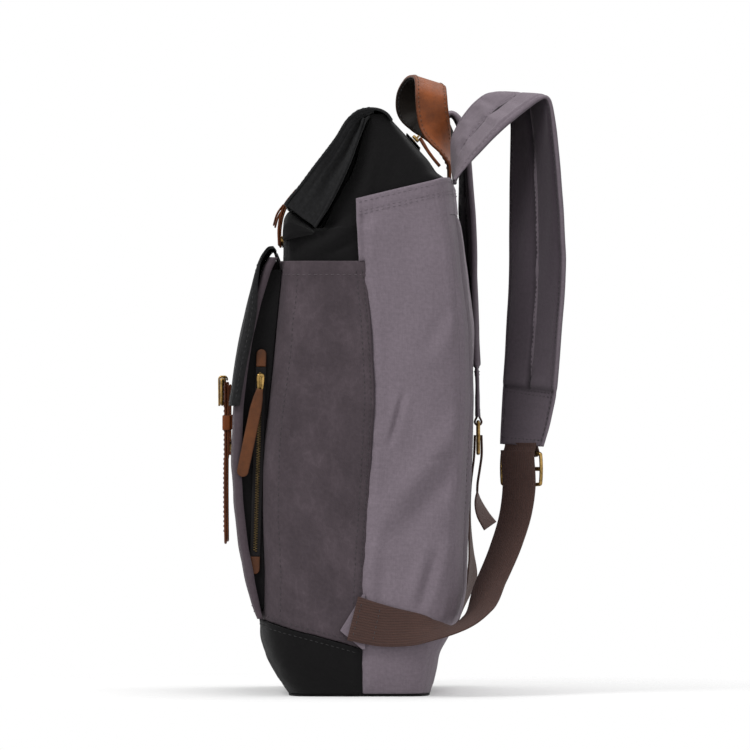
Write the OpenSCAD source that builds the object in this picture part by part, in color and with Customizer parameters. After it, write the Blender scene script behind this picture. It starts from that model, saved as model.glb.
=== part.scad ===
// Canvas travel backpack with a roll-top, a flap pocket and two shoulder straps.
// Millimetres, +Z up, the wearer's back towards +Y, origin at the centre of the base.

/* [Body] */
// Half the width of the bag across its two sides
half_width = 150; // [135:1:165]
// Thickness of the canvas panels
cloth = 2; // [1.6:0.1:2.4]
// Open seam between neighbouring panels
seam_gap = 0.3; // [0.2:0.05:0.5]
// Thickness of the board in the base
board = 3; // [2:0.5:5]
// Thickness of the foam behind the back panel
foam = 8; // [5:0.5:12]

/* [Roll-top] */
// Half the width of the rolled flap
roll_half = 150; // [140:1:156]
// Half the length of the zipper across the rear slope
rear_zip_half = 118; // [90:1:124]

/* [Pocket and flap] */
// Half the width of the front pocket
pocket_half = 136; // [124:1:138]
// Depth of the rounding at the pocket's upright edges
pocket_crown = 9; // [6:0.5:10]
// Half the distance between the two closing straps
strap_spread = 60; // [40:1:90]
// Width of the closing straps
lace_width = 18; // [14:1:24]
// Thickness of the leather
leather = 2.2; // [1.6:0.1:2.6]

/* [Brass] */
// Diameter of the buckle and tri-glide wire
wire = 3; // [2:0.2:3.6]
// Running clearance of moving fittings
clearance = 0.3; // [0.2:0.05:0.4]
// Width of a zipper tape
tape_width = 8; // [7:0.5:8.5]

/* [Straps] */
// Width of the lower webbing
webbing_width = 38; // [30:1:40]
// Thickness of the webbing
webbing = 1.8; // [1.4:0.1:2.2]
// Thickness of a shoulder pad at its crowns
pad = 9; // [7:0.5:10]
// Width of the carry handle's leather
handle_width = 26; // [20:1:30]
// Half the distance between the handle's legs
handle_half = 28; // [22:1:29]

/* [Hidden] */
$fn = 32;
grey = [0.46, 0.42, 0.45];
waxed = [0.33, 0.29, 0.31];
black = [0.13, 0.13, 0.14];
tan_leather = [0.52, 0.30, 0.16];
brown = [0.24, 0.17, 0.15];
brass = [0.45, 0.36, 0.20];
section_power = 8;
corner_front = 1.08;
corner_rear = 0.95;
half_seam = seam_gap / 2 / half_width * 180 / PI;

// Side outlines of the body, each point a height and a depth
front_line = [[0, -57], [7, -61], [14, -67], [32, -76], [46, -80], [62, -80.5], [100, -80],
  [150, -82], [182, -82], [206, -80], [232, -77], [262, -73.5], [294, -70.5], [349, -65]];
back_line = [[0, 56], [8, 59], [20, 62], [34, 64], [46, 71], [62, 80], [86, 84], [142, 85.5],
  [198, 88], [238, 89.5], [294, 88], [366, 80], [417, 73.5]];
side_line = [[0, -12], [20, -5], [60, 0], [300, 0], [417, -4]];
seam_line = [[0, 2], [62, 2], [110, 4], [142, 6.5], [198, 9.5], [238, 12], [300, 9], [350, 4], [399, 1.5]];
boot_top = 61;
boot_side = 38;
boot_corner = 0.173;
waxed_top = 349;
rear_top_low = 399;
back_top = 416;
floor_gap = cloth + seam_gap;
foam_out = cloth + 1.2;
foam_high = back_top - 82;
sleeve_low = 92;
sleeve_high = foam_high - 44;

// Side outlines of the roll-top's collar
collar_front_line = [[338, -62], [350, -62.2], [364, -62], [371, -61], [373.5, -56], [374.3, -46],
  [374.6, -36], [376, -33.5], [388, -25], [420, -9], [446, 1], [463, 7], [467, 8.5]];
slope_low = [55.5, 430];
slope_high = [34.5, 453];
collar_back_line = [[338, 80], [366, 76], [416, 69], [420, 62], [slope_low[1], slope_low[0]],
  [slope_high[1], slope_high[0]], [463, 25], [467, 21]];
collar_rows = [338, 350, 364, 371, 373.5, 374.3, 374.6, 376, 388, 402, 416, 420, slope_low[1], 442,
  slope_high[1], 463, 467];
collar_rise = [[338, 0], [416, 0], [463, 2]];

// Edge paths of the rolled flap, from the fold to the hem
roll_outer_path = [[17, 469.5], [12, 471.4], [6, 471.6], [-2, 469.5], [-9, 464], [-20, 447.6],
  [-34, 429.6], [-48, 409.6], [-60, 393.6]];
roll_inner_path = [[4, 463], [-1.5, 446], [-11.5, 420], [-27.5, 388], [-35.5, 375.5]];

// Face of the pocket and of the flap that covers it
pocket_line = [[62, -83], [70, -86.5], [91, -92.5], [120, -98.6], [155, -102.6], [182, -104], [206, -103.4],
  [233, -102.4], [262, -98.9], [286, -95.2], [316, -87.8], [342, -79.3], [352, -74]];
pocket_rows = [62, 70, 91, 120, 155, 182, 206, 233, 262, 286, 316, 342, 352];
pocket_round = [[62, 0.6], [75, 0.8], [100, 1], [300, 1], [352, 0.9]];
flap_path = [[-69.5, 361], [-73, 360.5], [-77.8, 355], [-82.8, 343], [-90.8, 316], [-98, 286],
  [-101.9, 262], [-105.4, 233]];
flap_round = [0, 0.1, 0.4, 0.8, 1, 1, 1, 1];
flap_half = pocket_half + cloth + 1;
face_columns = [-1, -0.985, -0.94, -0.85, -0.6, -0.3, 0, 0.3, 0.6, 0.85, 0.94, 0.985, 1];

// Leather and brass on the flap, stacked outwards from its face
tab_back = -105.7;
tab_face = tab_back - leather + 0.4;
lace_back = tab_face - 0.2;
lace_face = lace_back - leather;
buckle_y = lace_face - clearance - wire / 2;
buckle_z = 244;
buckle_tall = 20;
buckle_half = lace_width / 2 + wire + 1;
keeper_z = 219;
keeper_tall = 12;
keeper_wall = 1.2;
tab_low = 192;
tab_high = 250;
lace_low = 121;
stud_z = 200;
stud_r = 4;
roll_stud_z = waxed_top + 17;

// Side zipper of the pocket
zip_low = [-84.2, 112];
zip_high = [-79.4, 264];
zip_tilt = atan2(zip_high[0] - zip_low[0], zip_high[1] - zip_low[1]);
zip_long = norm(zip_high - zip_low);
gusset_face = pocket_half - 3 * cloth;
zip_slider_z = 140;
pocket_pull_long = 72;
pull_lean = 10;

// Zipper on the rear slope
zip_share = 0.65;
slope_mid = slope_low + (slope_high - slope_low) * zip_share;
slope_tilt = -atan2(slope_high[1] - slope_low[1], slope_low[0] - slope_high[0]);
rear_slider_x = 104;
rear_pull_long = 28;

// Shoulder pads: near and far edges, each point across, back and up
pad_near = [[106, 76.9, 414.5], [105, 82.3, 421.5], [104, 93.5, 434], [103.5, 106, 447.3],
  [103, 117.5, 458.5], [103, 129.5, 468.5], [103, 141, 477.5], [103, 149.3, 483],
  [103, 153.3, 481.3], [103, 155.5, 472], [103, 157.8, 455], [103.5, 160.9, 425],
  [104, 163.3, 392], [105, 165, 352], [106, 163.8, 315], [107, 160.8, 278], [107, 157.6, 240],
  [106, 152.5, 216], [104, 147.5, 200]];
pad_far = [[46, 76.9, 414.5], [46.5, 74, 432], [47, 74, 449], [47, 82, 464.5], [47, 90.8, 476],
  [47, 100, 484], [47, 107.5, 485.8], [47, 114, 484.3], [47, 118.5, 480], [47, 121.5, 472], [47, 122.8, 459],
  [47.5, 122.3, 431.7], [48, 121.5, 399.3], [50, 120.8, 352], [53, 120, 315], [57, 117.9, 278],
  [62, 115.4, 246], [66.5, 114, 220], [70, 113, 202]];
pad_left_mid = [[-75, 77.8, 414.5], [-75, 77.3, 424], [-75, 75, 437], [-76, 72, 450], [-77, 69.8, 461],
  [-78, 70, 469.5], [-79, 74, 473.5], [-79.5, 79.3, 470], [-80, 83.8, 461], [-80.5, 86.3, 448],
  [-81.5, 86.5, 428], [-84, 87.3, 391], [-88, 90.2, 354], [-92, 92.2, 318], [-96, 94.6, 284],
  [-100, 96.3, 250], [-103, 97, 223.3]];
pad_left_half = [30, 30, 30, 30, 30, 30, 30, 30, 30, 30, 30, 31, 32, 32, 29, 25, 22];
pad_left_turn = [[0, 0], [8, 0], [9, 0.05], [10, 0.1], [11, 0.165], [12, 0.125], [13, 0.06], [14, 0]];
pad_taper = [[0, 0.45], [2, 0.7], [4, 1], [6, 0.75], [9, 0.8], [11, 1]];
pad_left_taper = [[0, 0.45], [2, 0.7], [4, 0.8], [6, 0.7], [8, 0.8], [10, 1]];
pad_ring = [[-1, 0], [-0.93, 0.42], [-0.6, 0.5], [-0.3, 0.47], [0, 0.3], [0.3, 0.47], [0.6, 0.5],
  [0.93, 0.42], [1, 0], [0.93, -0.42], [0.5, -0.5], [0, -0.44], [-0.5, -0.5], [-0.93, -0.42]];

// Tri-glides hang below the pads: centre and turn about the upright
glide_right = [87, 130, 182];
glide_turn_right = 43;
glide_left = [-103, 97, 206];
glide_turn_left = 0;
glide_half = webbing_width / 2 + wire + 1;
glide_tall = 26;
loop_r = wire / 2 + clearance + webbing;
loop_half = webbing_width / 2 - 1;

// Webbing paths: centres and the directions of its width
tab_plate = 1.8;
web_x = half_width + 2 * seam_gap + tab_plate + webbing / 2 + 0.1;
webbing_right = [[90.2, 126.6, 197], [88.9, 128, 166], [91.5, 125.5, 147], [101, 117, 119], [115, 105, 91],
  [141, 94.5, 67], [web_x + 4.5, 76, 55], [web_x + 5.5, 58, 53.5], [web_x + 1.2, 40, 54.5],
  [web_x, 18, 57], [web_x, -6, 63]];
webbing_right_dir = [[0.73, 0.68, 0], [0.73, 0.68, 0], [0.73, 0.68, 0.05], [0.7, 0.7, 0.1], [0.7, 0.7, 0.1],
  [0.9, 0.4, -0.02], [0.97, 0.2, -0.12], [0.75, 0.1, -0.6], [0.2, 0, -0.97], [0, -0.1, -0.99],
  [0, -0.15, -0.98]];
webbing_left = [[-103, 94.3, 208], [-103, 93.6, 190], [-104, 90.6, 165], [-109, 90, 135], [-118, 91, 105],
  [-138, 89, 76], [-154.5, 79, 58], [-2.5 - web_x, 58, 52], [-0.6 - web_x, 40, 52.5],
  [-web_x, 18, 56], [-web_x, -6, 63]];
webbing_left_dir = [[-1, 0, 0], [-1, 0, 0], [-1, 0.1, 0], [-0.98, 0.1, 0.02], [-0.93, 0.25, 0.12],
  [-0.75, 0.4, 0.4], [-0.45, 0.25, 0.8], [-0.2, 0.1, 0.95], [-0.05, 0, 0.99], [0, 0.1, 0.99],
  [0, 0.15, 0.98]];
webbing_narrow = [[0, 1], [5, 0.95], [6, 0.72], [7, 0.66], [8, 0.74], [9, 0.88], [10, 0.95]];
webbing_tail = [[-103, 99.7, 208], [-103, 99.8, 190.5], [-103, 98.2, 179], [-103, 96.4, 166],
  [-103, 96.8, 154], [-103, 100.6, 143], [-103, 107, 133]];

// Carry handle: centres and the directions of its width
handle_path = [[1, 72.5, 416.4], [1, 72.2, 428], [1, 69, 440], [1, 64, 451], [1, 60.3, 462], [1, 58.4, 474],
  [0.9, 57.6, 485], [0.6, 57, 493.5], [0, 53.5, 497], [-0.6, 47, 493], [-0.9, 42, 483], [-1, 42.5, 474.5],
  [-1, 49.5, 467.5], [-1, 60, 460], [-1, 67.5, 450], [-1, 71, 439], [-1, 72.2, 428], [-1, 72.5, 416.4]];
handle_dir = [[1, 0, 0], [1, 0, 0], [0.92, -0.4, 0], [0.65, -0.75, -0.1], [0.2, -0.95, -0.2],
  [0, -0.98, 0.1], [0, -0.96, 0.28], [0, -0.95, 0.3], [0, -0.95, 0.3], [0, -0.97, 0.25], [0, -0.99, 0.1],
  [0, -0.99, -0.05], [0.05, -0.97, -0.2], [0.2, -0.92, -0.3], [0.65, -0.7, -0.25], [0.92, -0.38, -0.1],
  [1, 0, 0], [1, 0, 0]];
handle_thick = 3;

function mix(a, b, t) = a + (b - a) * t;
function unit(v) = v / norm(v);
function sub(i, n) = max(0, min(n, i));

// Point of a rounded section with half width a and half depth b, in direction ang
function section(a, b, ang) =
  let (n = section_power, r = pow(pow(abs(cos(ang) / a), n) + pow(abs(sin(ang) / b), n), -1 / n))
  [r * cos(ang), r * sin(ang)];
function body_half(z) = half_width + lookup(z, side_line);
function body_mid(z) = (lookup(z, front_line) + lookup(z, back_line)) / 2;
function body_depth(z) = (lookup(z, back_line) - lookup(z, front_line)) / 2;
function body_point(z, ang, inset) =
  let (p = section(body_half(z) - inset, body_depth(z) - inset, ang))
  [p[0], body_mid(z) + p[1], z];
function collar_half(z) = body_half(min(z, back_top)) - cloth - 1.6 + lookup(z, collar_rise);
function collar_point(z, ang, inset) =
  let (yf = lookup(z, collar_front_line), yb = lookup(z, collar_back_line))
  let (p = section(collar_half(z) - inset, (yb - yf) / 2 - inset, ang))
  [p[0], (yf + yb) / 2 + p[1], z];
// Direction of the seam half way along the side, and of the corner seams
function mid_angle(z) = atan2(lookup(z, seam_line) - body_mid(z), body_half(z));
function front_angle(z) = -atan2(corner_front * body_depth(z), body_half(z));
function rear_angle(z) = atan2(corner_rear * body_depth(z), body_half(z));
function collar_front_angle(z) =
  -atan2((lookup(z, collar_back_line) - lookup(z, collar_front_line)) / 2 * corner_front, collar_half(z));
function collar_rear_angle(z) = -collar_front_angle(z);
// Front face of the body at a distance x from the middle
function body_front(z, x) =
  body_mid(z) - body_depth(z) * pow(1 - pow(x / body_half(z), section_power), 1 / section_power);
// Rounding of the pocket's face towards its upright edges
function crown(k) = pocket_crown * (1 - pow(max(0, 1 - pow(abs(k), section_power)), 1 / section_power));

// Closed solid between an outer and an inner grid of points
module shell(outer, inner) {
  rows = len(outer) - 1;
  cols = len(outer[0]) - 1;
  count = (rows + 1) * (cols + 1);
  function at(i, j, s) = s * count + i * (cols + 1) + j;
  skin = [for (i = [0:rows - 1], j = [0:cols - 1]) each [
    [at(i, j, 0), at(i + 1, j, 0), at(i + 1, j + 1, 0)],
    [at(i, j, 0), at(i + 1, j + 1, 0), at(i, j + 1, 0)],
    [at(i, j, 1), at(i + 1, j + 1, 1), at(i + 1, j, 1)],
    [at(i, j, 1), at(i, j + 1, 1), at(i + 1, j + 1, 1)]]];
  ends = [for (j = [0:cols - 1]) each [
    [at(0, j, 0), at(0, j + 1, 0), at(0, j + 1, 1)], [at(0, j, 0), at(0, j + 1, 1), at(0, j, 1)],
    [at(rows, j + 1, 0), at(rows, j, 0), at(rows, j, 1)],
    [at(rows, j + 1, 0), at(rows, j, 1), at(rows, j + 1, 1)]]];
  edges = [for (i = [0:rows - 1]) each [
    [at(i + 1, 0, 0), at(i, 0, 0), at(i, 0, 1)], [at(i + 1, 0, 0), at(i, 0, 1), at(i + 1, 0, 1)],
    [at(i, cols, 0), at(i + 1, cols, 0), at(i + 1, cols, 1)],
    [at(i, cols, 0), at(i + 1, cols, 1), at(i, cols, 1)]]];
  points = concat([for (r = outer) each r], [for (r = inner) each r]);
  polyhedron(points = points, faces = concat(skin, ends, edges), convexity = 6);
}

// Spacings of a panel's columns, closer at both ends, at the end or at the start
both_ends = function(u) (1 - cos(180 * u)) / 2;
far_end = function(u) sin(90 * u);
near_end = function(u) 1 - cos(90 * u);

// Panel of the body between two heights and two seam directions
module body_panel(low, high, left, right, rows, cols, out = 0, thick = cloth, ease = function(u) u) {
  function spot(i, j, inset) =
    let (u = ease(j / cols), z = mix(low(u), high(u), i / rows))
    body_point(z, mix(left(z) + half_seam, right(z) - half_seam, u), inset);
  shell([for (i = [0:rows]) [for (j = [0:cols]) spot(i, j, out)]],
    [for (i = [0:rows]) [for (j = [0:cols]) spot(i, j, out + thick)]]);
}

// Panel of the collar between two seam directions
module collar_panel(left, right, cols) {
  function spot(z, j, inset) =
    collar_point(z, mix(left(z) + 3 * half_seam, right(z) - 3 * half_seam, both_ends(j / cols)), inset);
  shell([for (z = collar_rows) [for (j = [0:cols]) spot(z, j, 0)]],
    [for (z = collar_rows) [for (j = [0:cols]) spot(z, j, cloth)]]);
}

// Closed band swept through rings of points
module band(rings) {
  last = len(rings) - 1;
  n = len(rings[0]);
  sides = [for (i = [0:last - 1], k = [0:n - 1])
    let (a = i * n + k, b = i * n + (k + 1) % n, c = a + n, d = b + n)
    each k < n / 2 ? [[a, c, d], [a, d, b]] : [[a, c, b], [b, c, d]]];
  caps = [[for (k = [0:n - 1]) k], [for (k = [n - 1:-1:0]) last * n + k]];
  polyhedron(points = [for (r = rings) each r], faces = concat(sides, caps), convexity = 8);
}

// Ring of a band at a place, from a unit outline, a half width and a thickness
function ring(outline, place, along, across, half, thick) =
  let (n = unit(cross(along, across)), w = unit(cross(n, along)))
  [for (p = outline) place + w * p[0] * half + n * p[1] * thick];
function along(path, i) = unit(path[sub(i + 1, len(path) - 1)] - path[sub(i - 1, len(path) - 1)]);
flat_ring = [[-1, -0.5], [1, -0.5], [1, 0.5], [-1, 0.5]];

// Flat strip following a path of centres and width directions
module strip(path, dirs, half, thick, narrow = [[0, 1]]) {
  band([for (i = [0:len(path) - 1])
    ring(flat_ring, path[i], along(path, i), dirs[i], half * lookup(i, narrow), thick)]);
}

// Plate across the bag from a side outline of depth and height
module side_plate(outline, x, wide) {
  translate([x - wide / 2, 0, 0])
    rotate([90, 0, 90])
      linear_extrude(wide)
        polygon(outline);
}

// Outline of a layer between a path and a parallel one
function layer(path, thick) =
  let (last = len(path) - 1)
  let (ways = [for (i = [0:last]) unit(path[sub(i + 1, last)] - path[sub(i - 1, last)])])
  concat(path, [for (i = [last:-1:0]) path[i] + [-ways[i][1], ways[i][0]] * thick]);

// Both sides of the bag
module pair() {
  children();
  mirror([1, 0, 0]) children();
}

module bottom_panel() {
  color(black) linear_extrude(cloth)
    polygon([for (a = [0:5:355]) let (p = body_point(cloth, a, 0.5)) [p[0], p[1]]]);
}

module base_board() {
  color(brown) translate([0, 0, cloth]) linear_extrude(board)
    polygon([for (a = [0:5:355]) let (p = body_point(floor_gap, a, cloth + 3)) [p[0], p[1]]]);
}

module base_boot() {
  top = [[0, boot_side], [boot_corner, boot_top], [1 - boot_corner, boot_top], [1, boot_side]];
  color(black) body_panel(function(u) floor_gap, function(u) lookup(u, top),
    function(z) -180 - mid_angle(z), function(z) mid_angle(z), 6, 24);
}

module waxed_side() {
  color(waxed) body_panel(function(u) mix(boot_top, boot_side, u) + 4 * seam_gap, function(u) waxed_top,
    function(z) front_angle(z), function(z) mid_angle(z), 16, 7, ease = near_end);
}
module side_panel_front_right() { waxed_side(); }
module side_panel_front_left() { mirror([1, 0, 0]) waxed_side(); }

module grey_side() {
  color(grey) body_panel(function(u) floor_gap, function(u) mix(rear_top_low, back_top, u),
    function(z) mid_angle(z), function(z) rear_angle(z), 20, 7, ease = far_end);
}
module side_panel_rear_right() { grey_side(); }
module side_panel_rear_left() { mirror([1, 0, 0]) grey_side(); }

module front_panel() {
  color(waxed) body_panel(function(u) boot_top + seam_gap, function(u) waxed_top,
    function(z) -180 - front_angle(z), function(z) front_angle(z), 12, 10, ease = both_ends);
}

module back_panel() {
  color(grey) body_panel(function(u) floor_gap, function(u) back_top,
    function(z) rear_angle(z), function(z) 180 - rear_angle(z), 20, 12, ease = both_ends);
}

module back_foam() {
  edge = 8;
  color(black) body_panel(function(u) sleeve_low, function(u) foam_high,
    function(z) rear_angle(z) + edge, function(z) 180 - rear_angle(z) - edge, 10, 8, foam_out, foam);
}

module inner_sleeve() {
  edge = 12;
  color(grey) body_panel(function(u) sleeve_low, function(u) sleeve_high,
    function(z) rear_angle(z) + edge, function(z) 180 - rear_angle(z) - edge,
    8, 8, foam_out + foam + 1, cloth);
}

module collar_front() {
  color(black) collar_panel(function(z) -180 - collar_front_angle(z), function(z) collar_front_angle(z), 8);
}

module collar_back() {
  color(black) collar_panel(function(z) collar_rear_angle(z), function(z) 180 - collar_rear_angle(z), 8);
}

module collar_gusset() {
  color(black) collar_panel(function(z) collar_front_angle(z), function(z) collar_rear_angle(z), 6);
}
module collar_gusset_right() { collar_gusset(); }
module collar_gusset_left() { mirror([1, 0, 0]) collar_gusset(); }

module roll_outer() {
  color(black) side_plate(layer(roll_outer_path, cloth), 0, 2 * roll_half);
}

module roll_inner() {
  color(black) side_plate(layer(roll_inner_path, -cloth), 0, 2 * roll_half);
}

module roll_gusset() {
  outer = layer(roll_outer_path, cloth + seam_gap);
  inner = layer(roll_inner_path, -cloth - seam_gap);
  outline = concat([for (i = [len(roll_outer_path):2 * len(roll_outer_path) - 2]) outer[i]],
    [for (i = [2 * len(roll_inner_path) - 1:-1:len(roll_inner_path)]) inner[i]]);
  color(black) side_plate(outline, roll_half - cloth / 2, cloth);
}
module roll_gusset_right() { roll_gusset(); }
module roll_gusset_left() { mirror([1, 0, 0]) roll_gusset(); }

roll_strap_path = [[-50.3, 407], [-60.6, 393.4], [-64.6, 377], [-64.4, 362]];
roll_tip_path = [[-61.2, 395], [-66.2, 388], [-69.4, 378]];
module roll_strap() {
  color(tan_leather) union() {
    side_plate(layer(roll_strap_path, -leather), strap_spread, lace_width);
    side_plate(layer(roll_tip_path, -leather * 0.7), strap_spread, lace_width);
  }
}
module roll_strap_right() { roll_strap(); }
module roll_strap_left() { mirror([1, 0, 0]) roll_strap(); }

module roll_studs() {
  rear = lookup(roll_stud_z - stud_r, collar_front_line) - seam_gap;
  color(brass) pair() translate([strap_spread, rear, roll_stud_z]) rotate([90, 0, 0])
    cylinder(h = rear - roll_strap_path[3][0] - clearance, r = stud_r);
}

// Frame lying on the rear slope: x along the zipper, y down the slope, z out of it
module on_slope() {
  translate([0, slope_mid[0], slope_mid[1]]) rotate([slope_tilt, 0, 0]) children();
}

module rear_zip_tape() {
  color(black) on_slope() translate([-rear_zip_half, -tape_width, 0.3])
    cube([2 * rear_zip_half, 2 * tape_width, 0.8]);
}

module rear_zip_teeth() {
  color(brass) on_slope() translate([-rear_zip_half + 4, -2, 1.1]) cube([2 * rear_zip_half - 8, 4, 1.2]);
}

// Slider body that straddles the teeth, with a lug for its pull
module slider_body() {
  color(brass) difference() {
    union() {
      translate([-7, -3.6, 1.1 + clearance]) cube([14, 7.2, 4]);
      translate([-5.2, -1, 5.4]) cube([9.2, 2, 2]);
    }
    translate([-8, -2 - clearance, 0]) cube([16, 4 + 2 * clearance, 2.3 + clearance]);
  }
}

module rear_zip_slider() {
  on_slope() translate([rear_slider_x, 0, 0]) slider_body();
}

// Pull: leather strip held at the slider's lug
module pull_strip(long) {
  color(tan_leather) linear_extrude(leather) union() {
    translate([-5, 1.5]) square([10, long - 5]);
    translate([0, long - 3.5]) circle(5);
  }
}

module rear_zip_pull() {
  on_slope() translate([rear_slider_x, 0, 5.8]) pull_strip(rear_pull_long);
}

module pocket_front() {
  function spot(z, k, inset) =
    [k * (pocket_half - inset), lookup(z, pocket_line) + inset + crown(k) * lookup(z, pocket_round), z];
  color(grey) shell([for (z = pocket_rows) [for (k = face_columns) spot(z, k, 0)]],
    [for (z = pocket_rows) [for (k = face_columns) spot(z, k, cloth)]]);
}

module pocket_gusset() {
  inner = gusset_face - cloth;
  rows = [70, 91, 120, 155, 182, 206, 233, 262, 286, 316, 342];
  front = [for (z = rows)
    [lookup(z, pocket_line) + cloth + 2 * seam_gap + crown(gusset_face / (pocket_half - cloth)), z]];
  rear = [for (i = [len(rows) - 1:-1:0]) [body_front(rows[i], inner) - seam_gap, rows[i]]];
  color(black) side_plate(concat(front, rear), gusset_face - cloth / 2, cloth);
}
module pocket_gusset_right() { pocket_gusset(); }
module pocket_gusset_left() { mirror([1, 0, 0]) pocket_gusset(); }

// Frame on the pocket's side: x along the zipper upwards, y forward, z outwards
module on_gusset() {
  translate([gusset_face, zip_low[0], zip_low[1]]) rotate([-zip_tilt, 0, 0]) rotate([180, -90, 0])
    children();
}

module pocket_zip_tape() {
  color(black) on_gusset() translate([0, -tape_width / 2, 0.2]) cube([zip_long, tape_width, 0.8]);
}

module pocket_zip_teeth() {
  color(brass) on_gusset() translate([4, -2, 1.0]) cube([zip_long - 8, 4, 1.2]);
}

module pocket_zip_tabs() {
  color(tan_leather) on_gusset() for (x = [-14, zip_long + 0.3])
    translate([x, -tape_width / 2, 0.2]) cube([14, tape_width, leather]);
}

module pocket_zip_slider() {
  on_gusset() translate([zip_slider_z, 0, 0]) slider_body();
}

module pocket_zip_pull() {
  on_gusset() translate([zip_slider_z - 4, 0, 6.4]) rotate([0, 0, 90 - pull_lean])
    pull_strip(pocket_pull_long);
}

module flap_seam() {
  low = waxed_top - 11;
  edge = flap_path[0];
  path = [[lookup(low, front_line) - seam_gap, low], [lookup(waxed_top, front_line) - seam_gap, waxed_top],
    edge + [3.3, waxed_top - edge[1] + 3], edge + [1.3, -3.7]];
  color(black) side_plate(layer(path, cloth), 0, 1.6 * half_width);
}

module front_flap() {
  last = len(flap_path) - 1;
  function spot(i, k, inset) =
    let (d = unit(flap_path[sub(i + 1, last)] - flap_path[sub(i - 1, last)]))
    let (p = flap_path[i] + [-d[1], d[0]] * inset)
    [k * (flap_half - inset), p[0] + crown(k) * flap_round[i], p[1]];
  color(black) shell([for (i = [last:-1:0]) [for (k = face_columns) spot(i, k, 0)]],
    [for (i = [last:-1:0]) [for (k = face_columns) spot(i, k, cloth)]]);
}

module flap_tab() {
  color(tan_leather) translate([strap_spread - lace_width / 2, tab_face, tab_low])
    cube([lace_width, tab_back - tab_face, tab_high - tab_low]);
}
module flap_tab_right() { flap_tab(); }
module flap_tab_left() { mirror([1, 0, 0]) flap_tab(); }

module flap_strap() {
  color(tan_leather) translate([strap_spread, lace_back, 0]) rotate([90, 0, 0])
    linear_extrude(leather) union() {
    translate([-lace_width / 2, lace_low + lace_width / 2])
      square([lace_width, buckle_z + buckle_tall / 2 - 2 - lace_low - lace_width / 2]);
    translate([0, lace_low + lace_width / 2]) circle(lace_width / 2);
  }
}
module flap_strap_right() { flap_strap(); }
module flap_strap_left() { mirror([1, 0, 0]) flap_strap(); }

module flap_buckle() {
  color(brass) translate([strap_spread, buckle_y, buckle_z]) {
    for (z = [-1, 1]) translate([-buckle_half, 0, z * buckle_tall / 2])
      rotate([0, 90, 0]) cylinder(h = 2 * buckle_half, r = wire / 2);
    for (x = [-1, 1]) translate([x * buckle_half, 0, -buckle_tall / 2])
      cylinder(h = buckle_tall, r = wire / 2);
    for (x = [-1, 1], z = [-1, 1]) translate([x * buckle_half, 0, z * buckle_tall / 2]) sphere(wire / 2);
  }
}
module flap_buckle_right() { flap_buckle(); }
module flap_buckle_left() { mirror([1, 0, 0]) flap_buckle(); }

prong_wide = 2.4;
module flap_prong() {
  eye = wire / 2 + clearance;
  color(brass) translate([strap_spread - prong_wide / 2, buckle_y, buckle_z]) {
    translate([0, 0, buckle_tall / 2]) rotate([0, 90, 0]) difference() {
      cylinder(h = prong_wide, r = eye + 1.2);
      translate([0, 0, -1]) cylinder(h = prong_wide + 2, r = eye);
      translate([-eye - 2, 0, -1]) cube([2 * eye + 4, eye + 2, prong_wide + 2]);
    }
    translate([0, -eye - 1.4, -buckle_tall / 2 - 2]) cube([prong_wide, 1.4, buckle_tall + 2]);
  }
}
module flap_prong_right() { flap_prong(); }
module flap_prong_left() { mirror([1, 0, 0]) flap_prong(); }

module flap_keeper() {
  front = lace_face - clearance;
  rear = tab_back + clearance;
  color(tan_leather) translate([strap_spread, 0, keeper_z - keeper_tall / 2]) difference() {
    translate([-lace_width / 2 - 2 - clearance, front - keeper_wall, 0])
      cube([lace_width + 4 + 2 * clearance, rear - front + 2 * keeper_wall, keeper_tall]);
    translate([-lace_width / 2 - clearance, front, -1])
      cube([lace_width + 2 * clearance, rear - front, keeper_tall + 2]);
  }
}
module flap_keeper_right() { flap_keeper(); }
module flap_keeper_left() { mirror([1, 0, 0]) flap_keeper(); }

module flap_studs() {
  rear = lookup(stud_z, pocket_line);
  color(brass) pair() translate([strap_spread, rear - clearance, stud_z]) rotate([90, 0, 0])
    cylinder(h = rear - clearance - tab_back - clearance, r = stud_r);
}

module carry_handle() {
  path = [for (p = handle_path) [p[0] * handle_half, p[1], p[2]]];
  color(tan_leather) strip(path, handle_dir, handle_width / 2, handle_thick);
}

// Slice of a pad from its far edge to its near one
function pad_slice(path, i, half, taper) =
  let (n = unit(cross(along(path, i), half)))
  [for (p = pad_ring) path[i] + half * p[0] + n * p[1] * pad * lookup(i, taper)];

module shoulder_pad_right() {
  mid = (pad_near + pad_far) / 2;
  half = (pad_near - pad_far) / 2;
  color(grey) band([for (i = [0:len(mid) - 1]) pad_slice(mid, i, half[i], pad_taper)]);
}

module shoulder_pad_left() {
  color(grey) band([for (i = [0:len(pad_left_mid) - 1])
    pad_slice(pad_left_mid, i, [1, lookup(i, pad_left_turn), 0] * pad_left_half[i], pad_left_taper)]);
}

// Wire frame with a middle bar
module glide(place, turn) {
  color(brass) translate(place) rotate([0, 0, turn]) {
    for (z = [-glide_tall / 2, 0, glide_tall / 2]) translate([-glide_half, 0, z])
      rotate([0, 90, 0]) cylinder(h = 2 * glide_half, r = wire / 2);
    for (x = [-1, 1]) translate([x * glide_half, 0, -glide_tall / 2])
      cylinder(h = glide_tall, r = wire / 2);
    for (x = [-1, 1], z = [-1, 1]) translate([x * glide_half, 0, z * glide_tall / 2]) sphere(wire / 2);
  }
}
// Webbing loop round the upper bar, doubled on its way up to the pad
module strap_loop(place, turn, rise) {
  color(brown) translate(place) rotate([0, 0, turn]) translate([-loop_half, 0, glide_tall / 2])
    rotate([90, 0, 90]) linear_extrude(2 * loop_half) difference() {
      union() {
        circle(loop_r);
        translate([-webbing, 0]) square([2 * webbing, rise]);
      }
      circle(loop_r - webbing);
    }
}
module strap_loop_right() { strap_loop(glide_right, glide_turn_right, 4.8); }
module strap_loop_left() { strap_loop(glide_left, glide_turn_left, 4); }

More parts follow.
